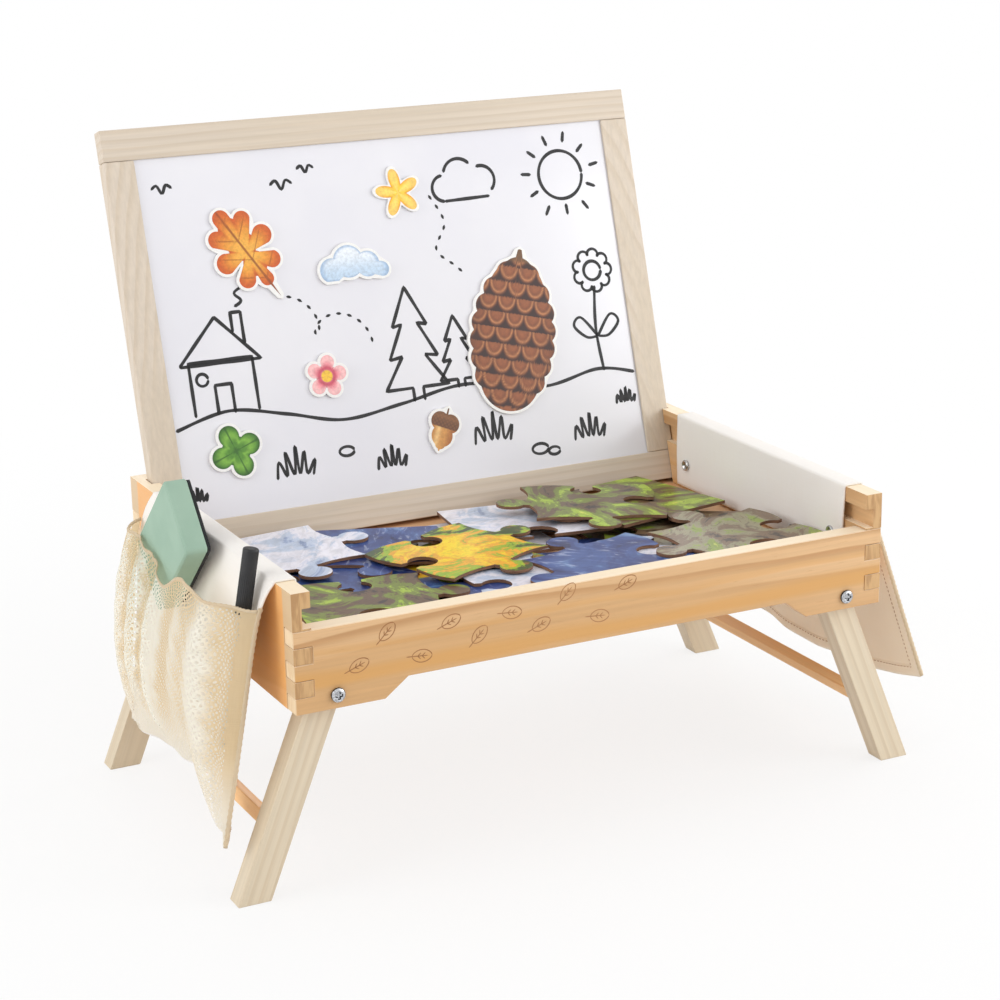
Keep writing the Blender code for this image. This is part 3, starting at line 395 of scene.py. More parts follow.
def makePine(name, endAxis, ends, centre, turn):
    # grain, a golden band along the lower third, painted shade in warm orange on the outer faces under the
    # pouches, cut ends sanded pale, and tops sanded pale with painted light from above
    look, tree, shader = newLook(name, 0.46)
    coords = node(tree, "TexCoord").outputs
    vector = stretched(tree, coords["Object"], (1, 1, 1), centre, turn)
    wood = useGroup(tree, woodGrain, {"Vector": vector, "Early": pine["early"], "Late": pine["late"],
                                      "Warm": pine["warm"], "Rings": pine["rings"], "Wander": pine["wander"],
                                      "Fleck": pine["fleck"]})
    out, parts = split(tree, coords["Normal"]), split(tree, coords["Object"])
    ragged = noise(tree, coords["Object"], (5.0, 5.0, 30.0))
    high = plus(tree, parts[2], times(tree, ragged, pine["ragged"]))
    streak = times(tree, between(tree, high, *pine["streak"]), 0.5)
    gold = sums(tree, "MAXIMUM", between(tree, high, *pine["band"]), streak)
    body = mixed(tree, times(tree, gold, pine["gold"]), wood["Color"], pine["low"])
    inward = sums(tree, "ABSOLUTE", sums(tree, "SUBTRACT", parts[1], table["shiftY"]))
    # painted shade: the walls' outer faces under the pouches turn warm orange, with a paler strip at their
    # ends
    pouchShade = mixed(tree, span(tree, inward, *pine["stripFrom"]), pine["side"], pine["strip"])
    outward = span(tree, times(tree, out[0], sums(tree, "SIGN", parts[0])), 0.6, 0.9)
    body = mixed(tree, times(tree, outward, pine["pouchShadeShare"]), body, pouchShade)
    ringed = noise(tree, coords["Object"], (260.0, 260.0, 40.0), 2.0, 0.6, 0.6, turn=(0.4, 0.7, 0.2))
    cutTone = mixed(tree, span(tree, ringed, 0.38, 0.66), *ends)
    body = mixed(tree, span(tree, sums(tree, "ABSOLUTE", out[endAxis]), 0.6, 0.8), body, cutTone)
    # painted light: faces that look up are made paler, as lit from above, as well as sanded pale
    body = mixed(tree, times(tree, span(tree, out[2], 0.5, 0.9), pine["topLightShare"]), body, pine["top"])
    feed(tree, shader, Base_Color=body, Roughness=span(tree, wood["Height"], 0.2, 1.1, 0.40, 0.56),
         Normal=bump(tree, wood["Height"], 0.25, 0.0003))
    return look


railPine = makePine("railPine", 0, railEnd, (0.03, 0.135, -0.150), (0, 0, 0))
wallPine = makePine("wallPine", 1, wallEnd, (-0.02, 0.03, -0.185), (0, 0, -math.pi / 2))
dress(railPine, "front_rail", "back_rail")
dress(wallPine, "left_wall", "right_wall")


def makePlainWood(name, rough, early, late, warm, turn, fleck=0.2, depth=0.0002, rings=150.0):
    look, tree, shader = newLook(name, rough)
    vector = stretched(tree, objectCoords(tree), (1, 1, 1), (0.11, 0.05, 0.07), turn)
    wood = useGroup(tree, woodGrain, {"Vector": vector, "Early": early, "Late": late, "Warm": warm,
                                      "Rings": rings, "Wander": 1.8, "Fleck": fleck})
    feed(tree, shader, Base_Color=wood["Color"], Normal=bump(tree, wood["Height"], 0.3, depth),
         Roughness=span(tree, wood["Height"], 0.2, 1.1, rough - 0.05, rough + 0.07))
    return look


cream = {"early": colour(217, 203, 186), "late": colour(207, 190, 168), "warm": colour(212, 197, 177)}
ply = {"early": colour(232, 190, 146), "late": colour(212, 160, 112), "warm": colour(224, 176, 134)}
bare = {"early": colour(254, 213, 158), "late": colour(232, 180, 122), "warm": colour(246, 198, 140)}
legs = {"early": colour(219, 204, 179), "late": colour(208, 189, 161), "warm": colour(214, 198, 171)}
flatTurn, upright, endOn = (0, 0, 0), (0, math.pi / 2, 0), (0, 0, math.pi / 2)

dress(makePlainWood("creamRail", 0.5, **cream, turn=flatTurn), "board_top_rail", "board_bottom_rail")
dress(makePlainWood("creamStile", 0.5, **cream, turn=upright), "board_left_stile", "board_right_stile")
for word, sign in sideSigns:
    splayed = (0, math.pi / 2 + sign * legSplay, 0)
    legLook = makePlainWood(f"creamLeg{word.title()}", 0.5, **legs, turn=splayed)
    dress(legLook, word + "_leg_front", word + "_leg_back")
dress(makePlainWood("plywood", 0.6, **ply, turn=flatTurn, rings=60.0), "floor_panel")
dress(makePlainWood("bareBar", 0.5, **bare, turn=endOn, fleck=0.4), "left_stretcher", "right_stretcher")


def makeDryErase():  # a white face with a faint haze and wipe marks; bare fibreboard where it looks back
    look, tree, shader = newLook("dryErase", 0.14, Coat_Weight=0.25, Coat_Roughness=0.08)
    coords = node(tree, "TexCoord").outputs
    back = span(tree, split(tree, coords["Normal"])[1], 0.2, 0.5)
    haze = noise(tree, coords["Object"], 9.0, 4.0)
    white = mixed(tree, span(tree, haze, 0.35, 0.75), colour(231, 230, 235), colour(226, 225, 232))
    fibres = noise(tree, coords["Object"], (500.0, 500.0, 500.0), 3.0, 0.7)
    plain = mixed(tree, span(tree, fibres, 0.3, 0.7), colour(196, 164, 128), colour(176, 142, 106))
    wiped = noise(tree, coords["Object"], (8.0, 30.0, 60.0), 3.0, turn=(0.3, 0.5, 0))
    feed(tree, shader, Base_Color=mixed(tree, back, white, plain),
         Roughness=plus(tree, span(tree, wiped, 0.3, 0.8, 0.12, 0.2), times(tree, back, 0.5)))
    return look


dress(makeDryErase(), "white_panel")


def makeMetal(name, tone, rough, rim=None):
    look, tree, shader = newLook(name, rough, Metallic=1.0)
    coords = node(tree, "TexCoord").outputs
    worn = noise(tree, coords["Object"], 900.0, 3.0, 0.6)
    metal = mixed(tree, span(tree, worn, 0.3, 0.7), tone, colour(150, 152, 156))
    if rim:  # painted shade round the rim, where the face turns away from the axis
        facing = sums(tree, "ABSOLUTE", split(tree, coords["Normal"])[rim])
        metal = mixed(tree, span(tree, facing, 0.62, 0.30), metal, colour(44, 42, 40))
    feed(tree, shader, Base_Color=metal, Roughness=span(tree, worn, 0.3, 0.7, rough - 0.08, rough + 0.10))
    return look


zinc = makeMetal("zinc", colour(214, 216, 220), 0.28)
boltZinc = makeMetal("boltZinc", colour(222, 224, 228), 0.26, rim=1)
snapMetal = makeMetal("snapMetal", colour(226, 224, 220), 0.22)
dress(zinc, *[f"pivot_{kind}_{end}_{word}" for kind in ("washer", "nut") for end in ("front", "back")
              for word, sign in sideSigns])


def makePlastic(name, tone, shade, rough, grain=700.0, depth=0.00004):
    look, tree, shader = newLook(name, rough)
    coords = objectCoords(tree)
    fine, broad = noise(tree, coords, grain), noise(tree, coords, 40.0)
    feed(tree, shader, Base_Color=mixed(tree, span(tree, broad, 0.3, 0.7), tone, shade),
         Roughness=span(tree, fine, 0.3, 0.7, rough - 0.05, rough + 0.08),
         Normal=bump(tree, fine, 0.3, depth))
    return look


dress(makePlastic("barrelWhite", colour(238, 236, 232), colour(230, 228, 224), 0.32), "marker_barrel")
dress(makePlastic("nibInk", colour(22, 22, 24), colour(30, 30, 32), 0.85), "marker_nib")
capGrey = makePlastic("capGrey", colour(24, 24, 26), colour(32, 32, 34), 0.5)
mintFoam = makePlastic("mintFoam", colour(157, 184, 165), colour(150, 178, 159), 0.78, 1600.0, 0.00012)
blackFelt = makePlastic("blackFelt", colour(34, 35, 37), colour(46, 47, 49), 0.95, 2600.0, 0.0003)
dress(mintFoam, "eraser_block")
dress(blackFelt, "eraser_felt")
markerInk = makePlastic("markerInk", colour(20, 19, 21), colour(28, 27, 30), 0.5, 300.0, 0.00001)
burnt = makePlastic("burntLine", colour(176, 128, 84), colour(156, 108, 66), 0.7, 300.0, 0.00002)


def makeDieCut():  # white card, faintly fibrous
    look, tree, shader = newLook("dieCutWhite", 0.42)
    paper = noise(tree, objectCoords(tree), 900.0, 3.0)
    white = mixed(tree, span(tree, paper, 0.3, 0.7), colour(246, 245, 243), colour(238, 236, 233))
    feed(tree, shader, Base_Color=white, Normal=bump(tree, paper, 0.15, 0.00005))
    return look


dress(makeDieCut(), *[name for name in nodes if name.startswith("magnet_")])


# printed greyboard: the picture is on the face that looks up, the cut edge is brown
prints = {
    "blue": {"tones": ((30, 42, 92), (44, 66, 128), (62, 90, 152), (104, 138, 186), (206, 218, 234),
                       (226, 234, 244)),
             "Draw": (10, 15, 10), "Streak": (40, 160, 30), "Soft": 0.03, "Streaks": 0.3, "Bend": 1.2},
    "green": {"tones": ((50, 38, 30), (106, 82, 56), (124, 138, 46), (170, 198, 52), (218, 220, 84),
                        (62, 48, 32)),
              "Draw": (14, 17, 10), "Streak": (150, 90, 60), "Soft": 0.014, "Streaks": 0.55, "Bend": 1.6},
    "yellow": {"tones": ((254, 222, 30), (252, 212, 26), (244, 178, 40), (156, 190, 44), (64, 84, 34),
                         (204, 110, 34)),
               "Draw": (24, 24, 10), "Streak": (160, 160, 60), "Soft": 0.018, "Round": 4.4, "Streaks": 0.4,
               "Bend": 1.5},
    "brown": {"tones": ((60, 46, 38), (122, 98, 74), (150, 142, 110), (138, 158, 54), (190, 200, 80),
                        (52, 40, 32)),
              "Draw": (15, 19, 10), "Streak": (80, 140, 40), "Soft": 0.014, "Streaks": 0.5, "Bend": 1.6},
    "white": {"tones": ((128, 150, 190), (196, 208, 228), (238, 236, 245), (245, 243, 250), (222, 228, 240),
                        (140, 160, 196)),
              "Draw": (9, 14, 10), "Streak": (50, 130, 30), "Soft": 0.03, "Streaks": 0.3, "Bend": 1.2},
}
# the solid pieces: picture and middle, across in metres and along the tray in rows
heap = {"row": 0.124789, "middle": -0.0145}
column = 0.131389
pieces = {"a": ("green", -column, -0.5), "b": ("brown", 0.0, -0.5), "c": ("yellow", column, -0.5),
          "d": ("blue", -column, 0.5), "e": ("white", 0.0, 0.5), "f": ("green", column, 0.5),
          "g": ("blue", 0.41 * column, -0.46), "h": ("white", -0.90 * column, 0.5),
          "i": ("yellow", -0.33 * column, 0.0), "j": ("brown", 0.134, -0.08),
          "k": ("white", 0.33 * column, 0.49), "l": ("green", 0.134, 0.47)}
# pieces thrown on top: picture, place, turn, tilt, layer, and by side a knob (1), socket (-1) or edge (0)
loose = {"length": 0.098, "width": 0.088, "thick": 0.0024, "layer": 0.0027, "knob": 0.125, "neck": 0.072,
         "reach": 0.155, "wave": 0.035, "rounded": 0.0003, "bevel": 0.0002}
thrown = {"m": ("blue", -0.131, -0.016, 8, 0, 3.0, (1, 1, -1, -1)),
          "n": ("green", -0.137, -0.097, -9, 0, 4.0, (-1, 1, -1, 0)),
          "o": ("blue", -0.053, -0.106, 15, 0, 3.0, (-1, 1, -1, -1)),
          "p": ("blue", -0.084, 0.012, -22, 0, 4.0, (1, -1, 0, 1)),
          "q": ("white", -0.010, -0.116, -7, 0, 4.0, (-1, -1, 1, -1)),
          "r": ("blue", 0.048, -0.112, 12, 0, 5.0, (-1, -1, 1, 1)),
          "s": ("white", 0.100, -0.113, -14, 0, 4.0, (-1, 1, -1, -1)),
          "t": ("brown", 0.152, -0.110, 9, 0, 6.0, (-1, -1, 1, 1)),
          "v": ("green", 0.100, 0.016, -19, 2, 6.1, (1, -1, -1, 1)),
          "w": ("white", -0.152, 0.027, 6, 0, 5.0, (1, 1, 0, 0)),
          "x": ("yellow", -0.040, -0.038, 21, 0, 5.5, (1, 1, -1, -1))}


def makePrinted(letter, word, middle, turn):
    look, tree, shader = newLook("print_" + letter, 0.36)
    coords = node(tree, "TexCoord").outputs
    given = dict(prints[word])
    given.update(zip(paintLabels, [colour(*tone) for tone in given.pop("tones")]))
    # the field is centred on the piece, at a height of its own so that no two pictures are alike
    placed = stretched(tree, coords["Object"], (1, 1, 0), (-middle[0], -middle[1], 0))
    height = 0.004 * (1 + math.sin(9.7 * turn + 31.0 * middle[0]))
    vector = stretched(tree, placed, (1, 1, 1), (0, 0, height), (0, 0, turn))
    picture = useGroup(tree, paintedPrint, {"Vector": vector, **given})["Color"]
    up = split(tree, coords["Normal"])[2]
    layers = noise(tree, coords["Object"], (90.0, 90.0, 2600.0))
    edge = mixed(tree, span(tree, layers, 0.35, 0.65), colour(140, 104, 80), colour(104, 74, 56))
    feed(tree, shader, Base_Color=mixed(tree, span(tree, up, 0.6, 0.8), edge, picture),
         Roughness=span(tree, up, 0.6, 0.8, 0.8, 0.30))
    return look


for index, (letter, (word, x, back)) in enumerate(pieces.items()):
    middle = (x, heap["middle"] + back * heap["row"] + table["shiftY"])
    dress(makePrinted(letter, word, middle, 0.9 * index), "jigsaw_" + letter)


def jigsawSide(kind):  # from 0 to 1 along X: two waved shoulders and, between them, a round knob on a neck
    shoulder = np.linspace(0.0, 0.5 - 1.15 * loose["neck"], 7)
    wave = -kind * loose["wave"] * np.sin(np.pi * shoulder / shoulder[-1])
    lean = math.asin(loose["neck"] / loose["knob"])
    turn = np.linspace(lean, 2 * np.pi - lean, 19) if kind else np.array([np.pi])
    knob = joined(0.5 - loose["knob"] * np.sin(turn), kind * (loose["reach"] - loose["knob"] * np.cos(turn)))
    left, right = joined(shoulder, wave), joined(1 - shoulder[::-1], wave[::-1])
    return np.concatenate([left, knob, right[:-1]])


def thrownJigsaw(letter, word, x, y, yaw, tilt, layer, kinds):
    # the four sides in turn give the outline; it is carried up by the thickness, turned and tilted
    corners = 0.5 * np.array([[-1, -1], [1, -1], [1, 1], [-1, 1]]) * [loose["length"], loose["width"]]
    runs = []
    for corner, ahead, kind in zip(corners, np.roll(corners, -1, axis=0) - corners, kinds):
        outward = np.array([ahead[1], -ahead[0]]) * loose["width"] / np.linalg.norm(ahead)
        side = jigsawSide(kind)
        runs.append(corner + side[:, :1] * ahead + side[:, 1:] * outward)
    outline = np.concatenate(runs)
    top = outline - loose["rounded"] * unit(outline)
    levels = ((outline, 0.0), (outline, loose["thick"] - loose["bevel"]), (top, loose["thick"]))
    points = np.concatenate([joined(*edge.T, high) for edge, high in levels])
    across, away = turned(points[:, 0], points[:, 1], math.radians(yaw))
    base = table["floorTop"] + table["fitGap"] + loose["layer"] * layer
    placed = joined(x + across, y + away, base + points[:, 2] - math.tan(math.radians(tilt)) * across)
    count = len(outline)
    ends = np.arange(count)[None, ::-1], np.arange(2 * count, 3 * count)[None]
    faces = [gridFaces(3, count, closeCols=True), *ends]
    look = makePrinted(letter, word, (x, y), 0.7 * layer + 9 * x)
    made = putMesh("jigsawLoose_" + letter, placed, faces, look, "table")
    made.data.shade_flat()


for letter, given in thrown.items():
    thrownJigsaw(letter, *given)


def makeCloth(name, tone, shade, pitch, strength, depth, through, wallGlow=None):
    # woven cloth that lets some light through; without a tone of its own it takes the mesh's tint
    look, tree, shader = newLook(name, 0.9, Sheen_Weight=0.15, Sheen_Roughness=0.5)
    coords = node(tree, "TexCoord").outputs
    if tone is None:
        tone = node(tree, "Attribute", attribute_name="tint").outputs["Color"]
        shade = mixed(tree, 1.0, tone, colour(244, 240, 234), "MULTIPLY")
    if wallGlow:  # painted warm light on the outer flap's face that looks at the wall
        place, facing = split(tree, coords["Object"])[0], split(tree, coords["Normal"])[0]
        toWall = times(tree, times(tree, sums(tree, "SIGN", place), facing), -1.0)
        outer = span(tree, sums(tree, "ABSOLUTE", place), 0.2255, 0.2285)
        inside = times(tree, span(tree, toWall, 0.1, 0.5), outer)
        tone, shade = mixed(tree, inside, tone, wallGlow[0]), mixed(tree, inside, shade, wallGlow[1])
    flat = node(tree, "UVMap", uv_map="uv").outputs[0]
    weave = useGroup(tree, clothWeave, {"Vector": flat, "Pitch": pitch, "Colour": tone, "Shade": shade})
    feed(tree, shader, Base_Color=weave["Color"], Normal=bump(tree, weave["Height"], strength, depth))
    blendOut(look, through, node(tree, "BsdfTranslucent", {"Color": weave["Color"]}))
    return look


# the last pair of tones is painted warm light on the outer flap's face towards the wall
canvasCloth = makeCloth("canvasCloth", colour(255, 251, 246), colour(250, 244, 237), 0.0009, 0.35, 0.00015,
                        0.10, (colour(255, 243, 224), colour(253, 236, 214)))
netYarn = makeCloth("netYarn", None, None, 0.0008, 0.5, 0.0002, 0.48)
rimYarn = makeCloth("rimYarn", colour(236, 218, 188), colour(224, 203, 170), 0.0008, 0.5, 0.0002, 0.3)
thread = makePlastic("threadTan", colour(196, 160, 128), colour(182, 146, 112), 0.85, 2000.0, 0.0001)
print("finishes made:", len(bpy.data.materials))


# pouches: canvas over each wall, a net pocket sewn on outside

pouch = {"front": 0.026, "length": 0.234, "drop": 0.170, "canvas": 0.0012, "netDrop": 0.018,
         "netThick": 0.001, "flapLift": 0.002, "saddle": 0.0013, "markerFromFront": 0.044,
         "eraserFromFront": 0.161, "hemWidth": 0.009, "hemLift": 0.0006, "stitchIn": 0.0075,
         "stitchPitch": 0.0036, "seamTop": 0.030}
hangs = {"left": {"side": -1, "puff": 0.010, "frontFlare": 0.172, "backFlare": 0.105, "bulge": 0.0305,
                  "fold": 0.0054, "loaded": True},
         "right": {"side": 1, "puff": 0.0015, "frontFlare": 0.345, "backFlare": 0.260, "bulge": 0.014,
                   "fold": 0.003, "loaded": False}}
pouchY0 = -table["halfDepth"] + pouch["front"]
pouchY1 = pouchY0 + pouch["length"]
markerY = -table["halfDepth"] + pouch["markerFromFront"]
eraserY = -table["halfDepth"] + pouch["eraserFromFront"]
skin = table["fitGap"] + pouch["canvas"] / 2
outerX = table["halfWidth"] + skin
crownZ = table["wallTop"] + skin


def waves(turns, phase=0.0):  # sine of a number of turns
    return np.sin(2 * np.pi * turns + phase)


# dents and waves of the outer flap; how far below the crown the puff and the dents come in
flap = {"puffWithin": 0.012, "wave": 0.0022, "dentWithin": 0.010, "markerDent": 0.0062, "markerWide": 0.011,
        "eraserDent": 0.0088, "eraserWide": 0.058, "eraserDeep": 0.085, "belly": 0.0011, "crease": 0.0007}


def flapOut(drop, y, hang):
    # how far the outer flap stands off the wall: a puff below the crown, a flare that grows with the drop,
    # waves towards the hem, and dents where the marker and the eraser hang
    part = (y - pouchY0) / pouch["length"]
    flare = hang["frontFlare"] + (hang["backFlare"] - hang["frontFlare"]) * part
    out = hang["puff"] * (1 - np.exp(-drop / flap["puffWithin"])) + flare * drop
    wave = waves(2.6 * part, 0.8) + 0.5 * waves(4.7 * part, 2.0)
    out = out + flap["wave"] * wave * (drop / pouch["drop"]) ** 2
    if hang["loaded"]:
        byMarker = flap["markerDent"] * hump(y, markerY, flap["markerWide"])
        byEraser = hump(y, eraserY, flap["eraserWide"]) * np.exp(-(drop / flap["eraserDeep"]) ** 4)
        dent = byMarker + flap["eraserDent"] * byEraser
        out = out - (1 - np.exp(-drop / flap["dentWithin"])) * dent
    return np.maximum(out, 0.0)


hemline = {"frontRise": 0.034, "corner": 0.040, "cornerAt": 0.175, "cornerSoft": 0.03, "sag": 0.003,
           "sagAt": 0.48, "sagCurve": 0.060}


def hemDrop(y, hang):  # a full pouch hangs lowest at its ends, an empty one in the middle
    part = (y - pouchY0) / pouch["length"]
    if hang["loaded"]:
        corner = hemline["corner"] / (1 + np.exp((part - hemline["cornerAt"]) / hemline["cornerSoft"]))
        return pouch["drop"] - hemline["frontRise"] * (1 - part) + corner
    return pouch["drop"] + hemline["sag"] - hemline["sagCurve"] * (part - hemline["sagAt"]) ** 2


# the net; each of the rim's humps has a drop, a place counted from the eraser and a width
net = {"cell": 0.0018, "hole": 0.88, "deep": 0.150, "gather": 1.2, "rim": 0.0009, "binding": 0.00125,
       "rimHumps": ((-0.004, -0.064, 0.025), (-0.007, 0.044, 0.028), (0.011, -0.022, 0.018)), "hemIn": 0.002,
       "folds": 4.6, "minor": 0.40, "crumple": 0.14, "sway": 0.55, "foldEnd": 2.6, "solidEdge": 3,
       "yarnAndFoldShade": (236, 215, 178), "crest": (255, 254, 245), "foot": (255, 254, 247)}


def rimDrop(y, hang):  # the net's rim, lifted on both sides of the eraser and pulled down before it
    if not hang["loaded"]:
        return pouch["netDrop"]
    humps = [drop * hump(y, eraserY + place, wide) for drop, place, wide in net["rimHumps"]]
    return pouch["netDrop"] + sum(humps)


def flapPoint(drop, y, hang, lift):  # a point of the outer flap's middle, moved outwards by lift
    out = flapOut(np.maximum(drop - pouch["saddle"], 0.0), y, hang) + lift
    return joined(hang["side"] * (outerX + out), y + table["shiftY"], crownZ - drop)


def canvasSheet(word, hang):
    # rows from the hem inside the tray, over the wall, to the hem outside; hems are folded to the inside
    fine = np.array([0.0, 0.0015, 0.0078, 0.0085, 0.0092, 0.010])
    even = np.linspace(pouchY0 + 0.012, pouchY1 - 0.012, 92)
    y = np.unique(np.concatenate([even, pouchY0 + fine, pouchY1 - fine]))
    part = (y - pouchY0) / pouch["length"]
    inside, low, rad = table["wallInner"] - skin, table["floorTop"] + pouch["flapLift"], pouch["saddle"]
    z = np.linspace(low, crownZ - rad, 26)[:, None]
    high = (z - low) / (crownZ - rad - low)
    belly = flap["belly"] * np.sin(np.pi * high) ** 2 * (0.55 + 0.45 * waves(1.8 * part, 1.1))
    rows = [joined(hang["side"] * (inside - belly), y + table["shiftY"], z)]
    rising, falling = np.linspace(0, np.pi / 2, 7)[1:, None], np.linspace(np.pi / 2, 0, 7)[:, None]
    for x0, toWall, turn in ((inside, 1, rising), (outerX, -1, falling)):
        x = hang["side"] * (x0 + toWall * rad * (1 - np.cos(turn)))
        rows.append(joined(x, y + table["shiftY"], crownZ - rad * (1 - np.sin(turn))))
    hem = hemDrop(y, hang)
    edge = np.minimum(y - pouchY0, pouchY1 - y)
    t = np.unique(np.concatenate([np.linspace(0, 1, 74)[1:] ** 1.2, 1 - fine[2:] / pouch["drop"]]))[:, None]
    drop = rad + (hem - rad) * t
    toEdge = np.minimum(edge, (hem - rad) * (1 - t))
    band = 1 - ease(toEdge, pouch["hemWidth"] - 0.0006, pouch["hemWidth"] + 0.0003)
    crease = flap["crease"] * waves(9.0 * part + 1.5 * t) * t * (1 - t)
    rows.append(flapPoint(drop, y, hang, crease - pouch["hemLift"] * band * ease(drop, 0.012, 0.035)))
    rows = np.concatenate(rows)
    steps = np.linalg.norm(np.diff(rows, axis=0), axis=2)
    uv = joined(y, np.concatenate([np.zeros((1, len(y))), np.cumsum(steps, axis=0)]))
    faces = gridFaces(*rows.shape[:2])[:, ::hang["side"]]
    made = putMesh(word + "CanvasSheet", rows, [faces], canvasCloth, "table", uv)
    thicken(made, pouch["canvas"])
    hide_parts(word + "_canvas")
    return made, rows


def sheetArea(rows):  # area of a grid of points
    a = rows[1:, 1:] - rows[:-1, :-1]
    b = rows[1:, :-1] - rows[:-1, 1:]
    return float(0.5 * np.linalg.norm(np.cross(a, b), axis=2).sum())


def stitchRow(name, path, normal, look, body):
    # a row of short threads: each is a four-sided spindle that dips in at both ends
    total = arcLength(path)[-1]
    count = int(total / pouch["stitchPitch"])
    start = (np.arange(count) + 0.2) * total / count
    share = np.array([0.0, 0.12, 0.5, 0.88, 1.0])
    thick = np.tile([0.00008, 0.00030, 0.00034, 0.00030, 0.00008], count)[:, None]
    rise = np.tile([-0.0003, 0.00012, 0.0002, 0.00012, -0.0003], count)[:, None]
    place = (start[:, None] + 0.66 * pouch["stitchPitch"] * share).ravel()
    side = np.cross(unit(along(path, place + 1e-4) - along(path, place - 1e-4)), normal)
    middle = along(path, place) + normal * rise
    rings = [middle + side * thick, middle + normal * thick, middle - side * thick, middle - normal * thick]
    one = np.concatenate([gridFaces(5, 4, closeCols=True), [[3, 2, 1, 0], [16, 17, 18, 19]]])
    faces = one + 20 * np.arange(count)[:, None, None]
    return putMesh(name, np.stack(rings, axis=1), [faces.reshape(-1, 4)], look, body)


def seamPath(hang, lift, inset):  # along both side hems and the bottom hem of the outer flap
    y0, y1 = pouchY0 + inset, pouchY1 - inset
    yFoot = np.linspace(y0, y1, 120)
    foot = flapPoint(hemDrop(yFoot, hang) - inset, yFoot, hang, lift)
    drops = [np.linspace(pouch["seamTop"], hemDrop(y, hang) - inset, 80) for y in (y0, y1)]
    first, last = flapPoint(drops[0], y0, hang, lift), flapPoint(drops[1], y1, hang, lift)
    return np.concatenate([first, foot[1:-1], last[::-1]])


def netFold(part, t, hang):  # gathered folds that hang from the rim: height, sideways lean and share of crest
    drift = 0.35 * waves(1.3 * part, 0.5) + 0.14 * t * waves(1.9 * part, 1.0)
    phase = 2 * np.pi * (net["folds"] * part + drift)
    crest = (0.5 + 0.5 * np.cos(phase)) ** 2.2
    minor = net["minor"] * (0.5 + 0.5 * np.cos(2.7 * phase + 1.3 + 2.0 * t)) ** 2
    crumple = net["crumple"] * (1 + waves(10 * part + 3.1 * t) * waves(3.7 * t + 2.3 * part))
    ends = np.sin(np.pi * np.clip(part, 0, 1)) ** 0.55
    hold = ends * (1 - t ** net["foldEnd"]) * (0.45 + 0.55 * ease(t, 0.0, 0.25))
    high = (crest + minor + crumple) * hold
    return hang["fold"] * high, net["sway"] * hang["fold"] * np.sin(phase) * hold, np.clip(high, 0, 1)


def netPoint(part, t, hang):  # from the rim at t 0 to the hem at 1: off the flap by a belly and by the folds
    y = pouchY0 + pouch["length"] * part
    rim, hem = rimDrop(y, hang), hemDrop(y, hang) - net["hemIn"]
    spread = (1 - np.minimum(np.abs(2 * part - 1), 1.0) ** 4) ** 0.8
    belly = (0.90 + 0.46 * t) * (1 - t ** 2.2) * (1 + 0.06 * waves(3.3 * part, 0.5) * t)
    seam = 2 * table["fitGap"] + (pouch["canvas"] + pouch["netThick"]) / 2
    fold, sway, _ = netFold(part, t, hang)
    point = flapPoint(rim + (hem - rim) * t, y, hang, seam + hang["bulge"] * spread * belly + fold)
    point[..., 1] += sway
    return point


def netSheet(word, hang):
    # a lattice of small cells, every other one with an eight-sided hole
    across, down = int(pouch["length"] / net["cell"]), int(net["deep"] / net["cell"])
    u, v = np.meshgrid(np.linspace(0, 1, across + 1), np.linspace(0, 1, down + 1))

    def drifted(u, v):  # the knit isn't even: cells drift by part of a cell, none at the edges
        still = np.minimum(ease(np.minimum(u, 1 - u), 0, 0.05), ease(np.minimum(v, 1 - v), 0, 0.06))
        du = 0.8 * waves(6.1 * v + 2.3 * u) + 0.35 * waves(17.0 * u + 11.0 * v)
        dv = 0.7 * waves(5.3 * u + 1.7 * v, 1.0) + 0.35 * waves(13.0 * u - 19.0 * v)
        return u + still * du / across, v + still * dv / down

    corners = netPoint(*drifted(u, v), hang)
    row, col = np.meshgrid(np.arange(down), np.arange(across), indexing="ij")
    solid = net["solidEdge"]
    holed = ((row + col) % 2 == 0) & (row > 0) & (row < down - 1) & (col > solid) & (col < across - 1 - solid)
    cells = gridFaces(down + 1, across + 1).reshape(down, across, 4)
    quad, plain = cells[holed], cells[~holed]
    octagon = fullTurn(8) + np.pi / 8
    holeU = (col[holed][:, None] + 0.5 + 0.5 * net["hole"] * np.cos(octagon)) / across
    holeV = (row[holed][:, None] + 0.5 + 0.5 * net["hole"] * np.sin(octagon)) / down
    rim = netPoint(*drifted(holeU, holeV), hang)
    base = u.size + 8 * np.arange(len(quad))[:, None]
    # octagon points 5,6 face the first edge, 7,0 the second, 1,2 the third, 3,4 the fourth
    sides, tips = [], []
    for k in range(4):
        before, start, stop = (2 * k + 4) % 8, (2 * k + 5) % 8, (2 * k + 6) % 8
        sides.append(np.hstack([quad[:, [k, (k + 1) % 4]], base + [stop, start]]))
        tips.append(np.hstack([quad[:, [k]], base + [start, before]]))
    faces = [group[:, ::hang["side"]] for group in (*sides, *tips, plain)]
    points = np.concatenate([corners.reshape(-1, 3), rim.reshape(-1, 3)])
    allU, allV = np.append(u, holeU), np.append(v, holeV)
    uv = joined(allU * pouch["length"], allV * net["deep"])
    # painted light on the net: a painted highlight on the folds' crests, the yarn's tan standing for shade in
    # the hollows between them, and paler towards the hem
    foldHighlight = ease(netFold(allU, allV, hang)[2], 0.05, 0.75)
    tint = toned(net["yarnAndFoldShade"], (net["crest"], foldHighlight), (net["foot"], 0.8 * ease(allV, 0.55, 0.95)))
    made = putMesh(word + "NetSheet", points, faces, netYarn, "table", uv, tint)
    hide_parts(word + "_net")
    whole = sheetArea(corners)
    holes = rim - rim.mean(axis=1, keepdims=True)
    cut = 0.5 * np.linalg.norm(np.cross(holes, np.roll(holes, -1, axis=1)), axis=2).sum()
    return made, whole, float(whole - cut)


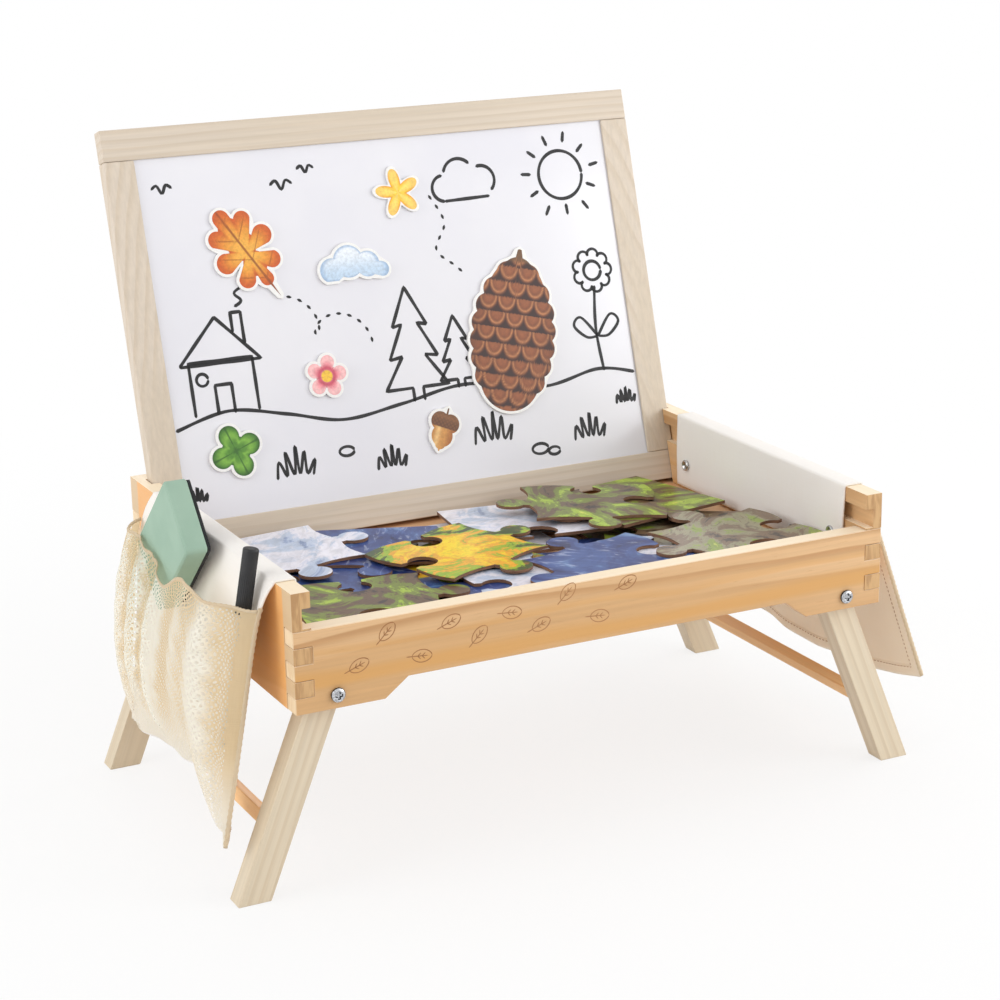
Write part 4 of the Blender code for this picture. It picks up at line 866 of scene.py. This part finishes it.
def rollEdge(name, path, radius):  # a small hem along a path, oval and uneven in thickness
    tangent = unit(np.gradient(path, axis=0))
    side = unit(np.cross(tangent, [0.0, 0.0, 1.0]))
    other = np.cross(side, tangent)
    turn = fullTurn(8)
    thick = radius * (1 + 0.18 * np.sin(np.arange(len(path)) * 1.9))[:, None, None]
    ring = side[:, None] * 0.75 * np.cos(turn)[:, None] + other[:, None] * 1.3 * np.sin(turn)[:, None]
    ends = [np.arange(8)[None, ::-1], np.arange(8)[None] + 8 * (len(path) - 1)]
    uv = joined(arcLength(path)[:, None], turn * radius)
    faces = [gridFaces(len(path), 8, closeCols=True), *ends]
    return putMesh(name, path[:, None] + thick * ring, faces, rimYarn, "table", uv)


for word, hang in hangs.items():
    sheet, rows = canvasSheet(word, hang)
    inner = seamPath(hang, -pouch["canvas"] / 2 - pouch["hemLift"], pouch["stitchIn"])
    toWall = np.array([-hang["side"], 0.0, 0.0])
    stitches = stitchRow(word + "CanvasStitches", inner, toWall, thread, "table")
    knit, whole, yarnArea = netSheet(word, hang)
    rim = rollEdge(word + "NetRim", netPoint(np.linspace(0.0, 1.0, 260), 0.0, hang), net["rim"])
    drop = np.linspace(0.016, hemDrop(pouchY0, hang) - 0.001, 120)
    bound = rollEdge(word + "NetBinding", flapPoint(drop, pouchY0 - 0.0003, hang, 0.0004), net["binding"])


# hardware

bolt = {"head": 0.005, "rise": 0.003, "shank": 0.0025, "length": 0.0387, "arm": 0.0011, "reach": 0.0031,
        "depth": 0.0016}


def crossRecess(grow, high, turn):  # a cross drive sunk into the head's top: one arm along each of two axes
    x, y = np.abs(grow * np.cos(turn)), np.abs(grow * np.sin(turn))

    def arm(across, ahead):
        return (1 - ease(across, bolt["arm"] * 0.6, bolt["arm"])) * (1 - ease(ahead, 0.0022, bolt["reach"]))

    top = high > table["fitGap"] + 0.35 * bolt["rise"]
    return grow, high - np.where(top, np.maximum(arm(x, y), arm(y, x)), 0.0) * bolt["depth"]


def makeBolt(end, face, word, side):  # a pan head with a flattened dome, then a straight shank
    dome = np.linspace(0.02, 1.0, 30)
    crown = table["fitGap"] + bolt["rise"] * (0.35 + 0.65 * np.sqrt(np.maximum(1 - dome ** 2.6, 0)))
    radius = [*(bolt["head"] * dome), bolt["head"] * 0.97, bolt["shank"], bolt["shank"], bolt["shank"] * 0.8]
    height = [*crown, table["fitGap"], table["fitGap"], -bolt["length"] + 0.0006, -bolt["length"]]
    place = (side * table["pivotX"], face * table["halfDepth"] + table["shiftY"], table["pivotZ"])
    made = turnedShape(f"panHead_{end}_{word}", radius, height, place, (0, face, 0), boltZinc, "table",
                       72, crossRecess)
    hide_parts(f"pivot_bolt_{end}_{word}")


for end, face in (("front", -1), ("back", 1)):
    for word, side in sideSigns:
        makeBolt(end, face, word, side)

# the cap's profile is in shares of its radius and rise: a sunk middle inside a raised ring
stud = {"cap": 0.0045, "rise": 0.0022, "post": 0.0015, "length": 0.009, "inset": 0.015, "z": 0.177,
        "capRadius": (0.03, 0.18, 0.34, 0.42, 0.50, 0.60, 0.70, 0.80, 0.89, 0.95, 0.985, 1.0, 0.97),
        "capHeight": (0.52, 0.50, 0.42, 0.40, 0.55, 0.84, 0.97, 1.0, 0.93, 0.76, 0.55, 0.30, 0.0)}


def makeStud(word, side, end, y):  # a cap on the flap, and its post through flap and wall
    radius = [*(stud["cap"] * np.array(stud["capRadius"])), stud["post"], stud["post"], stud["post"] * 0.9]
    height = [*(table["fitGap"] + stud["rise"] * np.array(stud["capHeight"])), table["fitGap"],
              -stud["length"] + 0.0003, -stud["length"]]
    flapFace = table["wallInner"] - table["fitGap"] - pouch["canvas"]
    place = (side * flapFace, y + table["shiftY"], stud["z"])
    made = turnedShape(f"snapStud_{word}_{end}", radius, height, place, (-side, 0, 0), snapMetal, "table",
                       40)
    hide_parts(f"{word}_stud_{end}")


for word, side in sideSigns:
    makeStud(word, side, "front", pouchY0 + stud["inset"])
    makeStud(word, side, "back", pouchY1 - stud["inset"])

cap = {"length": 0.136, "cap": 0.044, "outer": 0.0053, "ridges": 26, "ridge": 0.00016, "headOut": 0.0082,
       "lean": math.radians(10), "footFromFront": 0.048, "headRise": 0.020}
capTop, capLow = cap["length"], cap["length"] - cap["cap"]


def ridged(grow, high, turn):  # fine ridges along the cap's lower part, by a cosine round its outer face
    zone = ease(high, capLow + 0.003, capLow + 0.004) * (1 - ease(high, capLow + 0.026, capLow + 0.0275))
    depth = zone * cap["ridge"] * (1 + np.cos(cap["ridges"] * turn))
    return grow - np.where(grow > cap["outer"] * 0.97, depth, 0.0), high


def makeCap():  # a turned shell, open below, on the line from the marker's foot to its head
    head = np.array([-table["halfWidth"] - cap["headOut"], markerY + table["shiftY"],
                     table["wallTop"] + cap["headRise"]])
    foot = np.array([head[0] - cap["length"] * math.sin(cap["lean"]),
                     -table["halfDepth"] + cap["footFromFront"] + table["shiftY"], 0.0])
    foot[2] = head[2] - math.sqrt(cap["length"] ** 2 - ((head - foot)[:2] ** 2).sum())
    side = np.linspace(capTop - 0.0012, capLow + 0.0004, 60)
    radius = [0.0012, 0.0034, 0.0044, 0.0049, 0.00518, *np.full(60, cap["outer"]), 0.0051, 0.00455,
              0.00455, 0.001]
    height = [capTop, capTop, capTop - 0.00012, capTop - 0.0004, capTop - 0.0008, *side, capLow, capLow,
              capTop - 0.003, capTop - 0.003]
    made = turnedShape("ridgedCap", radius, height, foot, head - foot, capGrey, "marker_cap",
                       104, ridged)
    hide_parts("marker_cap")


makeCap()
print("hardware and marker cap made")


# board: drawn lines and printed magnets

board = {"y": 0.086807, "z": 0.160108, "middle": 0.157, "panel": 0.002, "magnet": -0.0003, "ink": 0.0026,
         "dash": 0.0023, "sunk": 0.00002, "proud": 0.00008}
leanSin, leanCos = math.sin(boardLean), math.cos(boardLean)


def onBoard(flat, depth):  # across and up from the board's middle, and depth into it, to the table's frame
    up = board["middle"] + flat[..., 1]
    y = board["y"] + depth * leanCos + up * leanSin
    return joined(flat[..., 0], y, board["z"] - depth * leanSin + up * leanCos)


def oval(x, y, rx, ry=None, start=0.0, stop=2 * np.pi, count=60):  # an ellipse, or an arc of it
    a = np.linspace(start, stop, count)
    return joined(x + rx * np.cos(a), y + (ry or rx) * np.sin(a))


def line(*points):
    return np.array(points, float)


def curve(points, count=80):  # a smooth line through points: a cubic between each two
    points = np.asarray(points, float)
    t = np.linspace(0, len(points) - 1, count)
    k = np.clip(t.astype(int), 0, len(points) - 2)
    f = (t - k)[:, None]
    p0, p1, p2, p3 = (points[np.clip(k + d, 0, len(points) - 1)] for d in (-1, 0, 1, 2))
    square, cube = 2 * p0 - 5 * p1 + 4 * p2 - p3, 3 * p1 - p0 - 3 * p2 + p3
    return 0.5 * (2 * p1 + (p2 - p0) * f + square * f ** 2 + cube * f ** 3)


def dashed(path, on=0.0042, off=0.0046):  # a path cut into dashes
    starts = np.arange(0, arcLength(path)[-1] - on, on + off)
    return [along(path, np.linspace(s, s + on, 6)) for s in starts]


def tuft(x, y, size):  # blades of grass in one zigzag
    tips = np.array([-0.9, -0.75, -0.45, -0.42, -0.12, 0.05, 0.12, 0.42, 0.45, 0.85, 0.7])
    highs = np.array([0.0, 0.55, 0.08, 0.85, 0.10, 1.0, 0.10, 0.80, 0.08, 0.5, 0.0])
    return curve(joined(x + size * tips, y + size * highs * 1.3), 90)


def firTree(x, y, wide, tall):  # three steps of branches and a stem: one half's corners, mirrored
    half = ((0.0, 1.0), (0.30, 0.66), (0.14, 0.68), (0.42, 0.38), (0.20, 0.40), (0.55, 0.12), (0.09, 0.12),
            (0.09, 0.0))
    right = np.array(half) * [wide, tall]
    left = right[::-1] * [-1, 1]
    return np.concatenate([left, right[1:]]) + [x, y]


def drawing():
    # bold: a hill, a sun with rays, a house, two firs, a flower and a cloud; thin: a window, smoke, petals,
    # leaves, birds, grass, stones and two dashed flights
    bold = [curve([(-0.193, -0.066), (-0.150, -0.056), (-0.105, -0.064), (-0.060, -0.074), (-0.010, -0.068),
                   (0.045, -0.060), (0.110, -0.070), (0.160, -0.062), (0.193, -0.068)], 200),
            line((-0.176, -0.058), (-0.176, -0.018), (-0.126, -0.018), (-0.126, -0.058)),
            line((-0.183, -0.020), (-0.151, 0.014), (-0.119, -0.020), (-0.183, -0.020)),
            line((-0.138, 0.001), (-0.138, 0.016), (-0.130, 0.016), (-0.130, -0.008)),
            line((-0.158, -0.058), (-0.158, -0.036), (-0.145, -0.036), (-0.145, -0.058)),
            firTree(0.004, -0.068, 0.048, 0.088), firTree(0.041, -0.062, 0.032, 0.056),
            curve([(0.166, -0.064), (0.164, -0.030), (0.168, 0.004)], 40), oval(0.168, 0.016, 0.0075),
            line((0.049, 0.082), (0.088, 0.083)), oval(0.152, 0.094, 0.019)]
    for a in fullTurn(11) + 0.2:
        reach = np.array([0.025, 0.034]) + 0.002 * math.sin(5 * a)
        bold.append(joined(0.152 + reach * math.cos(a), 0.094 + reach * math.sin(a)))
    for x, y, r, start, stop in ((0.050, 0.092, 0.010, 1.6, 4.7), (0.064, 0.101, 0.013, 0.7, 2.9),
                                 (0.083, 0.096, 0.011, -0.9, 1.9)):
        bold.append(oval(x, y, r, start=start, stop=stop, count=24))
    puff, flight = np.linspace(0, 3.2 * np.pi, 60), np.linspace(0, 1, 160)
    thin = [oval(-0.167, -0.031, 0.0045), oval(0.100, -0.118, 0.007, 0.004),
            oval(0.112, -0.121, 0.005, 0.003), oval(-0.062, -0.098, 0.006, 0.0035),
            joined(-0.134 + 0.0012 * puff + 0.004 * np.sin(puff), 0.020 + 0.0022 * puff),
            *dashed(joined(-0.092 + 0.062 * flight + 0.010 * waves(1.5 * flight),
                           0.012 - 0.026 * flight + 0.011 * waves(1.5 * flight, np.pi / 2))),
            *dashed(curve([(0.036, 0.088), (0.046, 0.066), (0.036, 0.046), (0.050, 0.032), (0.058, 0.024)],
                          90))]
    for a in fullTurn(9):
        x, y = 0.168 + 0.0125 * math.cos(a), 0.016 + 0.0125 * math.sin(a)
        thin.append(oval(x, y, 0.0048, start=a - 1.9, stop=a + 1.9))
    blade = line((0.0, -0.036), (0.013, -0.020), (0.020, -0.026), (0.010, -0.036), (0.0, -0.036))
    thin += [curve(blade * [side, 1] + [0.165, 0.0], 50) for side in (-1, 1)]
    wings = line((-1, 0.4), (-0.45, 0.75), (0, 0), (0.45, 0.75), (1, 0.4))
    for x, y, size in ((-0.083, 0.103, 0.009), (-0.062, 0.114, 0.007), (-0.176, 0.108, 0.008)):
        thin.append(curve(size * wings + [x, y], 40))
    for x, y, size in ((-0.104, -0.112, 0.018), (-0.026, -0.116, 0.014), (0.062, -0.108, 0.019),
                       (0.146, -0.116, 0.016), (0.182, -0.092, 0.010), (-0.184, -0.120, 0.009)):
        thin.append(tuft(x, y, size))
    return [(path, board["ink"]) for path in bold] + [(path, board["dash"]) for path in thin]


def onPanel(flat, rise):  # across and up on the white panel, raised by rise
    return onBoard(flat, board["panel"] - board["sunk"] - rise)


strokes("drawnLines", drawing(), onPanel, markerInk, "board", board["proud"])


def roundsReach(turn, rounds, base):  # how far circles that overlap reach from the middle, by direction
    x, y, r = np.array(rounds).T[..., None]
    ux, uy = np.cos(turn), np.sin(turn)
    room = r ** 2 - (x * uy - y * ux) ** 2
    reach = np.where(room > 0, x * ux + y * uy + np.sqrt(np.maximum(room, 0)), 0.0).max(axis=0)
    if base is not None:  # a straight foot below
        down = uy < -1e-6
        reach = np.where(down, np.minimum(reach, base / np.where(down, uy, -1.0)), reach)
    return reach


def both(rounds):  # mirrored pairs
    return [(s * x, y, r) for x, y, r in rounds for s in (-1, 1)]


def scaled(rounds, wide, tall, size):  # circles given in shares of a width and a height
    return [(x * wide, y * tall, r * size) for x, y, r in rounds]


def coneRounds(wide, tall):  # rows of scales within an egg, and a knob at the top
    rounds = [(0, 0.50 * tall, 0.06 * wide)]
    scale = 0.15 * wide
    for v in np.linspace(-0.39, 0.34, 7):
        half = 0.5 * wide * math.sqrt(1 - ((v + 0.10) / 0.52) ** 2)
        rounds += [(0, v * tall, half - 0.4 * scale), *both([(half - scale, v * tall, scale)])]
    return rounds


def petalRounds(radius, petals, share):  # equal circles round a middle one
    middle = radius * (1 - share)
    ring = [(middle * math.cos(a), middle * math.sin(a), share * radius) for a in fullTurn(petals)]
    return ring + [(0, 0, 0.6 * radius)]


def starReach(turn, radius, waist):  # five points, by a cosine from waist to radius
    return waist + (radius - waist) * np.abs(np.cos(5 * (turn - np.pi / 2) / 2)) ** 1.5


# pictures: tones by place, by share of the way to the edge and by direction

def coneTone(x, y, share, turn):  # overlapping scales in rows, every other row moved by half a scale
    row = (y + 0.066) / 0.0122
    across = x / 0.0158 + 0.5 * (np.floor(row) % 2)
    fx, fy = across - np.floor(across) - 0.5, row - np.floor(row)
    lip = np.sqrt((1.75 * fx) ** 2 + (1.05 * (fy - 0.95)) ** 2)
    return toned((96, 46, 26), ((152, 88, 52), 1 - ease(lip, 0.25, 0.85)),
                 ((188, 124, 78), hump(lip, 0.72, 0.09)), ((52, 24, 16), ease(lip, 0.86, 1.0)),
                 ((70, 32, 20), 0.55 * ease(np.abs(x) / 0.04, 0.55, 1.0)),
                 ((112, 78, 48), ease(y, 0.047, 0.050)))


def leafTone(x, y, share, turn):  # a middle rib, slanted veins and a redder edge
    vein = np.abs(waves((y + 0.04 - 0.75 * np.abs(x)) / 0.034))
    slanted = (1 - ease(vein, 0.02, 0.12)) * (1 - ease(share, 0.7, 0.95))
    ribs = np.maximum(1 - ease(np.abs(x), 0.0005, 0.0012), slanted)
    return toned((232, 150, 52), ((206, 92, 34), ease(share, 0.45, 1.0)),
                 ((246, 192, 84), 0.6 * hump(share, 0.2, 0.3)), ((140, 62, 24), ribs * 0.8),
                 ((122, 74, 40), ease(-y, 0.031, 0.034)))


def cloverTone(x, y, share, turn):  # dark lines between the leaves, a pale band on each
    petal = np.abs(np.sin(2 * turn))
    return toned((84, 138, 46), ((124, 176, 66), hump(share, 0.62, 0.16)),
                 ((52, 98, 34), ease(share, 0.8, 1.0)), ((44, 88, 30), (1 - ease(petal, 0.03, 0.16)) * 0.8),
                 ((58, 104, 36), 1 - ease(share, 0.05, 0.25)))


def starTone(x, y, share, turn):  # paler along the folds
    fold = np.abs(((turn - np.pi / 2) / (2 * np.pi / 10)) % 2 - 1)
    return toned((250, 206, 66), ((238, 160, 40), ease(share, 0.5, 1.0)),
                 ((255, 228, 128), 0.55 * ease(fold, 0.3, 0.8)))


def cloudTone(x, y, share, turn):  # paler upwards, bluer at the edge
    return toned((196, 216, 236), ((236, 242, 250), ease(y, -0.006, 0.012)),
                 ((150, 180, 214), ease(share, 0.82, 1.0) * 0.8))


def acornTone(x, y, share, turn):  # a shaded nut below, a cross-hatched cup above
    cup = ease(y, 0.0028, 0.0036)[..., None]
    cross = np.maximum(hump((x + y) % 0.0034, 0.0017, 0.0005), hump((x - y) % 0.0034, 0.0017, 0.0005))
    nut = toned((206, 146, 78), ((170, 104, 50), ease(np.abs(x + 0.002), 0.003, 0.010)),
                ((236, 192, 128), hump(x, -0.004, 0.002)))
    shell = toned((122, 78, 46), ((82, 50, 30), 0.75 * cross), ((150, 102, 62), hump(y, 0.012, 0.003) * 0.5))
    return nut * (1 - cup) + shell * cup


def flowerTone(x, y, share, turn):  # a yellow eye with a dark ring, dark lines between the petals
    middle = np.hypot(x, y)
    petal = np.abs(np.cos(2.5 * turn))
    return toned((238, 142, 152), ((250, 196, 196), hump(share, 0.85, 0.2)),
                 ((206, 84, 106), hump(middle, 0.0062, 0.0018)),
                 ((246, 200, 66), 1 - ease(middle, 0.0042, 0.0048)),
                 ((196, 80, 100), (1 - ease(petal, 0.04, 0.16)) * 0.7))


# each magnet's place across and up and its turn, its circles, its foot and its tones
picture = {"rays": 220, "rings": 45, "border": 0.0021, "proud": 0.00006, "least": 0.0006,
           "star": (0.021, 0.0095)}
leafSpine = [(0, v, r) for v, r in ((0.41, 0.15), (-0.30, 0.13), (-0.12, 0.20), (0.09, 0.23), (0.28, 0.19),
                                    (-0.41, 0.05), (-0.46, 0.05), (-0.51, 0.05))]
leafLobes = both(((0.22, -0.19, 0.15), (0.31, 0.05, 0.17), (0.22, 0.28, 0.15)))
cloudRounds = ((-0.28, -0.05, 0.32), (-0.05, 0.11, 0.40), (0.20, 0.02, 0.33), (0.38, -0.12, 0.22))
acornRounds = ((0, -0.08, 0.39), (0, -0.25, 0.23), (0, -0.39, 0.09), *both([(0.16, 0.20, 0.34)]),
               (0, 0.48, 0.10))
magnets = {
    "pine_cone": ((0.092, -0.018, -14), coneRounds(0.078, 0.112), None, coneTone),
    "oak_leaf": ((-0.118, 0.058, 32), scaled(leafSpine + leafLobes, 0.058, 0.078, 0.058), None, leafTone),
    "clover": ((-0.150, -0.086, 20), petalRounds(0.022, 4, 0.46), None, cloverTone),
    "star": ((0.010, 0.092, 10), None, None, starTone),
    "cloud": ((-0.036, 0.040, 0), scaled(cloudRounds, 0.062, 0.036, 0.036), -0.33 * 0.036, cloudTone),
    "acorn": ((0.018, -0.094, -24), scaled(acornRounds, 0.028, 0.038, 0.028), None, acornTone),
    "flower": ((-0.070, -0.040, 8), petalRounds(0.018, 5, 0.42), None, flowerTone),
}


def makeInk():  # the mesh's tint, slightly mottled
    look, tree, shader = newLook("magnetPrint", 0.38)
    tint = node(tree, "Attribute", attribute_name="tint").outputs["Color"]
    brush = noise(tree, objectCoords(tree), 420.0, 3.0, 0.65)
    feed(tree, shader, Base_Color=dimmed(tree, tint, brush, 0.3, 0.7, 0.86, 1.1),
         Roughness=span(tree, brush, 0.3, 0.7, 0.34, 0.46))
    return look


magnetInk = makeInk()


def printedFace(name, place, rounds, base, tone):
    # a picture inside the white border of a magnet: rays from its middle, tinted by place
    rays, rings, border = picture["rays"], picture["rings"], picture["border"]
    turn = fullTurn(rays)
    if rounds is None:
        reach = starReach(turn, *picture["star"]) - 1.15 * border
    else:
        smaller = [(x, y, max(r - border, picture["least"])) for x, y, r in rounds]
        reach = roundsReach(turn, smaller, None if base is None else base + border)
    share = np.linspace(0.0, 1.0, rings + 1)[1:, None]
    spread = np.broadcast_arrays(share * reach * np.cos(turn), share * reach * np.sin(turn), share, turn)
    x, y, shares, turns = (np.append(values, 0.0) for values in spread)
    across, up, degrees = place
    right, above = turned(x, y, math.radians(degrees))
    flat = joined(across + right, up + above)
    first = np.arange(rays)
    faces = [gridFaces(rings, rays, closeCols=True)[:, ::-1], joined(rings * rays, first, np.roll(first, -1))]
    putMesh("print_" + name, onBoard(flat, board["magnet"] - picture["proud"]), faces, magnetInk, "board",
            tint=tone(x, y, shares, turns))


for name, given in magnets.items():
    printedFace(name, *given)
print("board drawn, magnets printed")


# a trail of small burnt leaves on the front rail
sprig = {"count": 10, "size": 0.0145, "start": -0.187, "step": 0.022, "z": 0.163, "width": 0.0007,
         "proud": 0.00005}


def leafSprig(k):  # two curved edges, a stem and four veins, turned and set to one side of the trail
    t = np.linspace(0, np.pi, 26)
    edge = joined((1 - np.cos(t)) / 2, 0.30 * np.sin(t) ** 1.25)
    parts = [edge, edge * [1, -1], line((-0.28, 0.0), (0.8, 0.0))]
    parts += [line((v, 0.0), (v + 0.16, s * 0.15)) for v in (0.28, 0.5) for s in (-1, 1)]
    turn = 0.35 + 0.5 * math.sin(2.1 * k)
    place = [sprig["start"] + sprig["step"] * k, sprig["z"] + (0.009 if k % 2 else -0.007) + 0.0008 * k]
    return [(joined(*turned(*(sprig["size"] * part.T), turn)) + place, sprig["width"]) for part in parts]


def onRail(flat, rise):  # across and up on the front rail's face, raised by rise
    return joined(flat[:, 0], table["shiftY"] - table["halfDepth"] - rise, flat[:, 1])


sprigs = [part for k in range(sprig["count"]) for part in leafSprig(k)]
strokes("burntTrail", sprigs, onRail, burnt, "table", sprig["proud"])


# camera, light and floor

view = {"place": (-0.751792, -1.521425 + table["shiftY"], 0.703602), "yaw": 0.4761, "pitch": -0.30396,
        "roll": -0.0151, "focal": 2444.189, "middle": (540.0, 540.0), "sensor": 36.0, "pixels": 1000.0}
studio = {"fill": 0.82, "floor": 6.0, "tiles": 24, "tone": (0.86, 0.86, 0.86, 1),
          "shade": (0.35, 1.1, 0.78, 1.0)}
# each lamp's place, what it looks at, its size and its watts
lamps = {"keyBox": ((1.3, -1.9, 1.6), (0, 0, 0.2), (1.5, 1.5), 5.0),
         "rightFrontBox": ((1.5, -1.2, 0.7), (0, 0, 0.2), (1.0, 0.8), 10.0),
         "rightBox": ((2.1, 0.3, 0.9), (0, 0, 0.2), (1.3, 1.0), 10.0),
         "leftBox": ((-2.1, -0.1, 1.0), (0.1, 0, 0.2), (1.3, 1.2), 14.5),
         "backBox": ((0.6, 2.2, 0.5), (0, 0, 0.2), (1.6, 0.8), 8.0)}


def stand(made, right, up, back, place):  # a camera or a lamp, by its axes and its place
    axes = np.eye(4)
    axes[:3] = joined(*np.array([right, up, back, place]))
    made.matrix_world = Matrix(axes.tolist())
    bpy.context.scene.collection.objects.link(made)


def makeCamera():
    yaw, pitch, roll, pixels = view["yaw"], view["pitch"], view["roll"], view["pixels"]
    ahead = np.array([math.sin(yaw) * math.cos(pitch), math.cos(yaw) * math.cos(pitch), math.sin(pitch)])
    right = np.array([math.cos(yaw), -math.sin(yaw), 0.0])
    up = np.cross(right, ahead)
    data = bpy.data.cameras.new("photoCamera")
    data.sensor_width = view["sensor"]
    data.lens = view["focal"] * view["sensor"] / pixels
    data.shift_x = (pixels / 2 - view["middle"][0]) / pixels
    data.shift_y = (view["middle"][1] - pixels / 2) / pixels
    data.clip_end = 50.0
    made = bpy.data.objects.new("photoCamera", data)
    across = math.cos(roll) * right + math.sin(roll) * up
    upward = math.cos(roll) * up - math.sin(roll) * right
    stand(made, across, upward, -ahead, view["place"])
    bpy.context.scene.camera = made


def softBox(name, place, target, size, watts):
    data = bpy.data.lights.new(name, "AREA")
    data.shape = "RECTANGLE"
    data.size, data.size_y = size
    data.energy = watts
    away = unit(np.array(place, float) - np.array(target, float))
    side = unit(np.cross([0.0, 0.0, 1.0], away))
    stand(bpy.data.objects.new(name, data), side, np.cross(away, side), away, place)


def seenDirectly(tree):  # 1 for rays from the camera, and for those that were mirrored or let through
    path = node(tree, "LightPath").outputs
    seen = sums(tree, "MAXIMUM", path["Is Camera Ray"], path["Is Glossy Ray"])
    return sums(tree, "MAXIMUM", seen, path["Is Transmission Ray"])


def makeWorld():  # plain white to look at, dimmer as light
    world = bpy.data.worlds.new("studio")
    bpy.context.scene.world = world
    world.use_nodes = True
    tree = world.node_tree
    tree.nodes.clear()
    fill, white = (node(tree, "Background", {"Color": plainWhite, "Strength": strength}).outputs[0]
                   for strength in (studio["fill"], 1.0))
    blended = node(tree, "MixShader", {0: seenDirectly(tree), 1: fill, 2: white})
    tree.links.new(blended.outputs[0], node(tree, "OutputWorld").inputs[0])


def makeFloor():  # pale ground that fades to plain white away from the table
    size, count = studio["floor"], studio["tiles"]
    x, y = np.meshgrid(np.linspace(-size, size, count), np.linspace(-size, size, count))
    mesh = bpy.data.meshes.new("studioFloor")
    mesh.from_pydata(joined(x, y, 0.0).reshape(-1, 3).tolist(), [], gridFaces(count, count).tolist())
    look, tree, shader = newLook("studioFloor", 0.9, Base_Color=studio["tone"])
    faded = span(tree, lengthOf(tree, objectCoords(tree)), *studio["shade"])
    white = node(tree, "Emission", {"Color": plainWhite, "Strength": 1.0})
    blendOut(look, times(tree, seenDirectly(tree), faded), white)
    mesh.materials.append(look)
    made = bpy.data.objects.new("studioFloor", mesh)
    bpy.context.scene.collection.objects.link(made)


makeCamera()
makeWorld()
makeFloor()
for name, given in lamps.items():
    softBox(name, *given)
bpy.context.scene.view_settings.view_transform = "Standard"
print("camera, light and floor made")
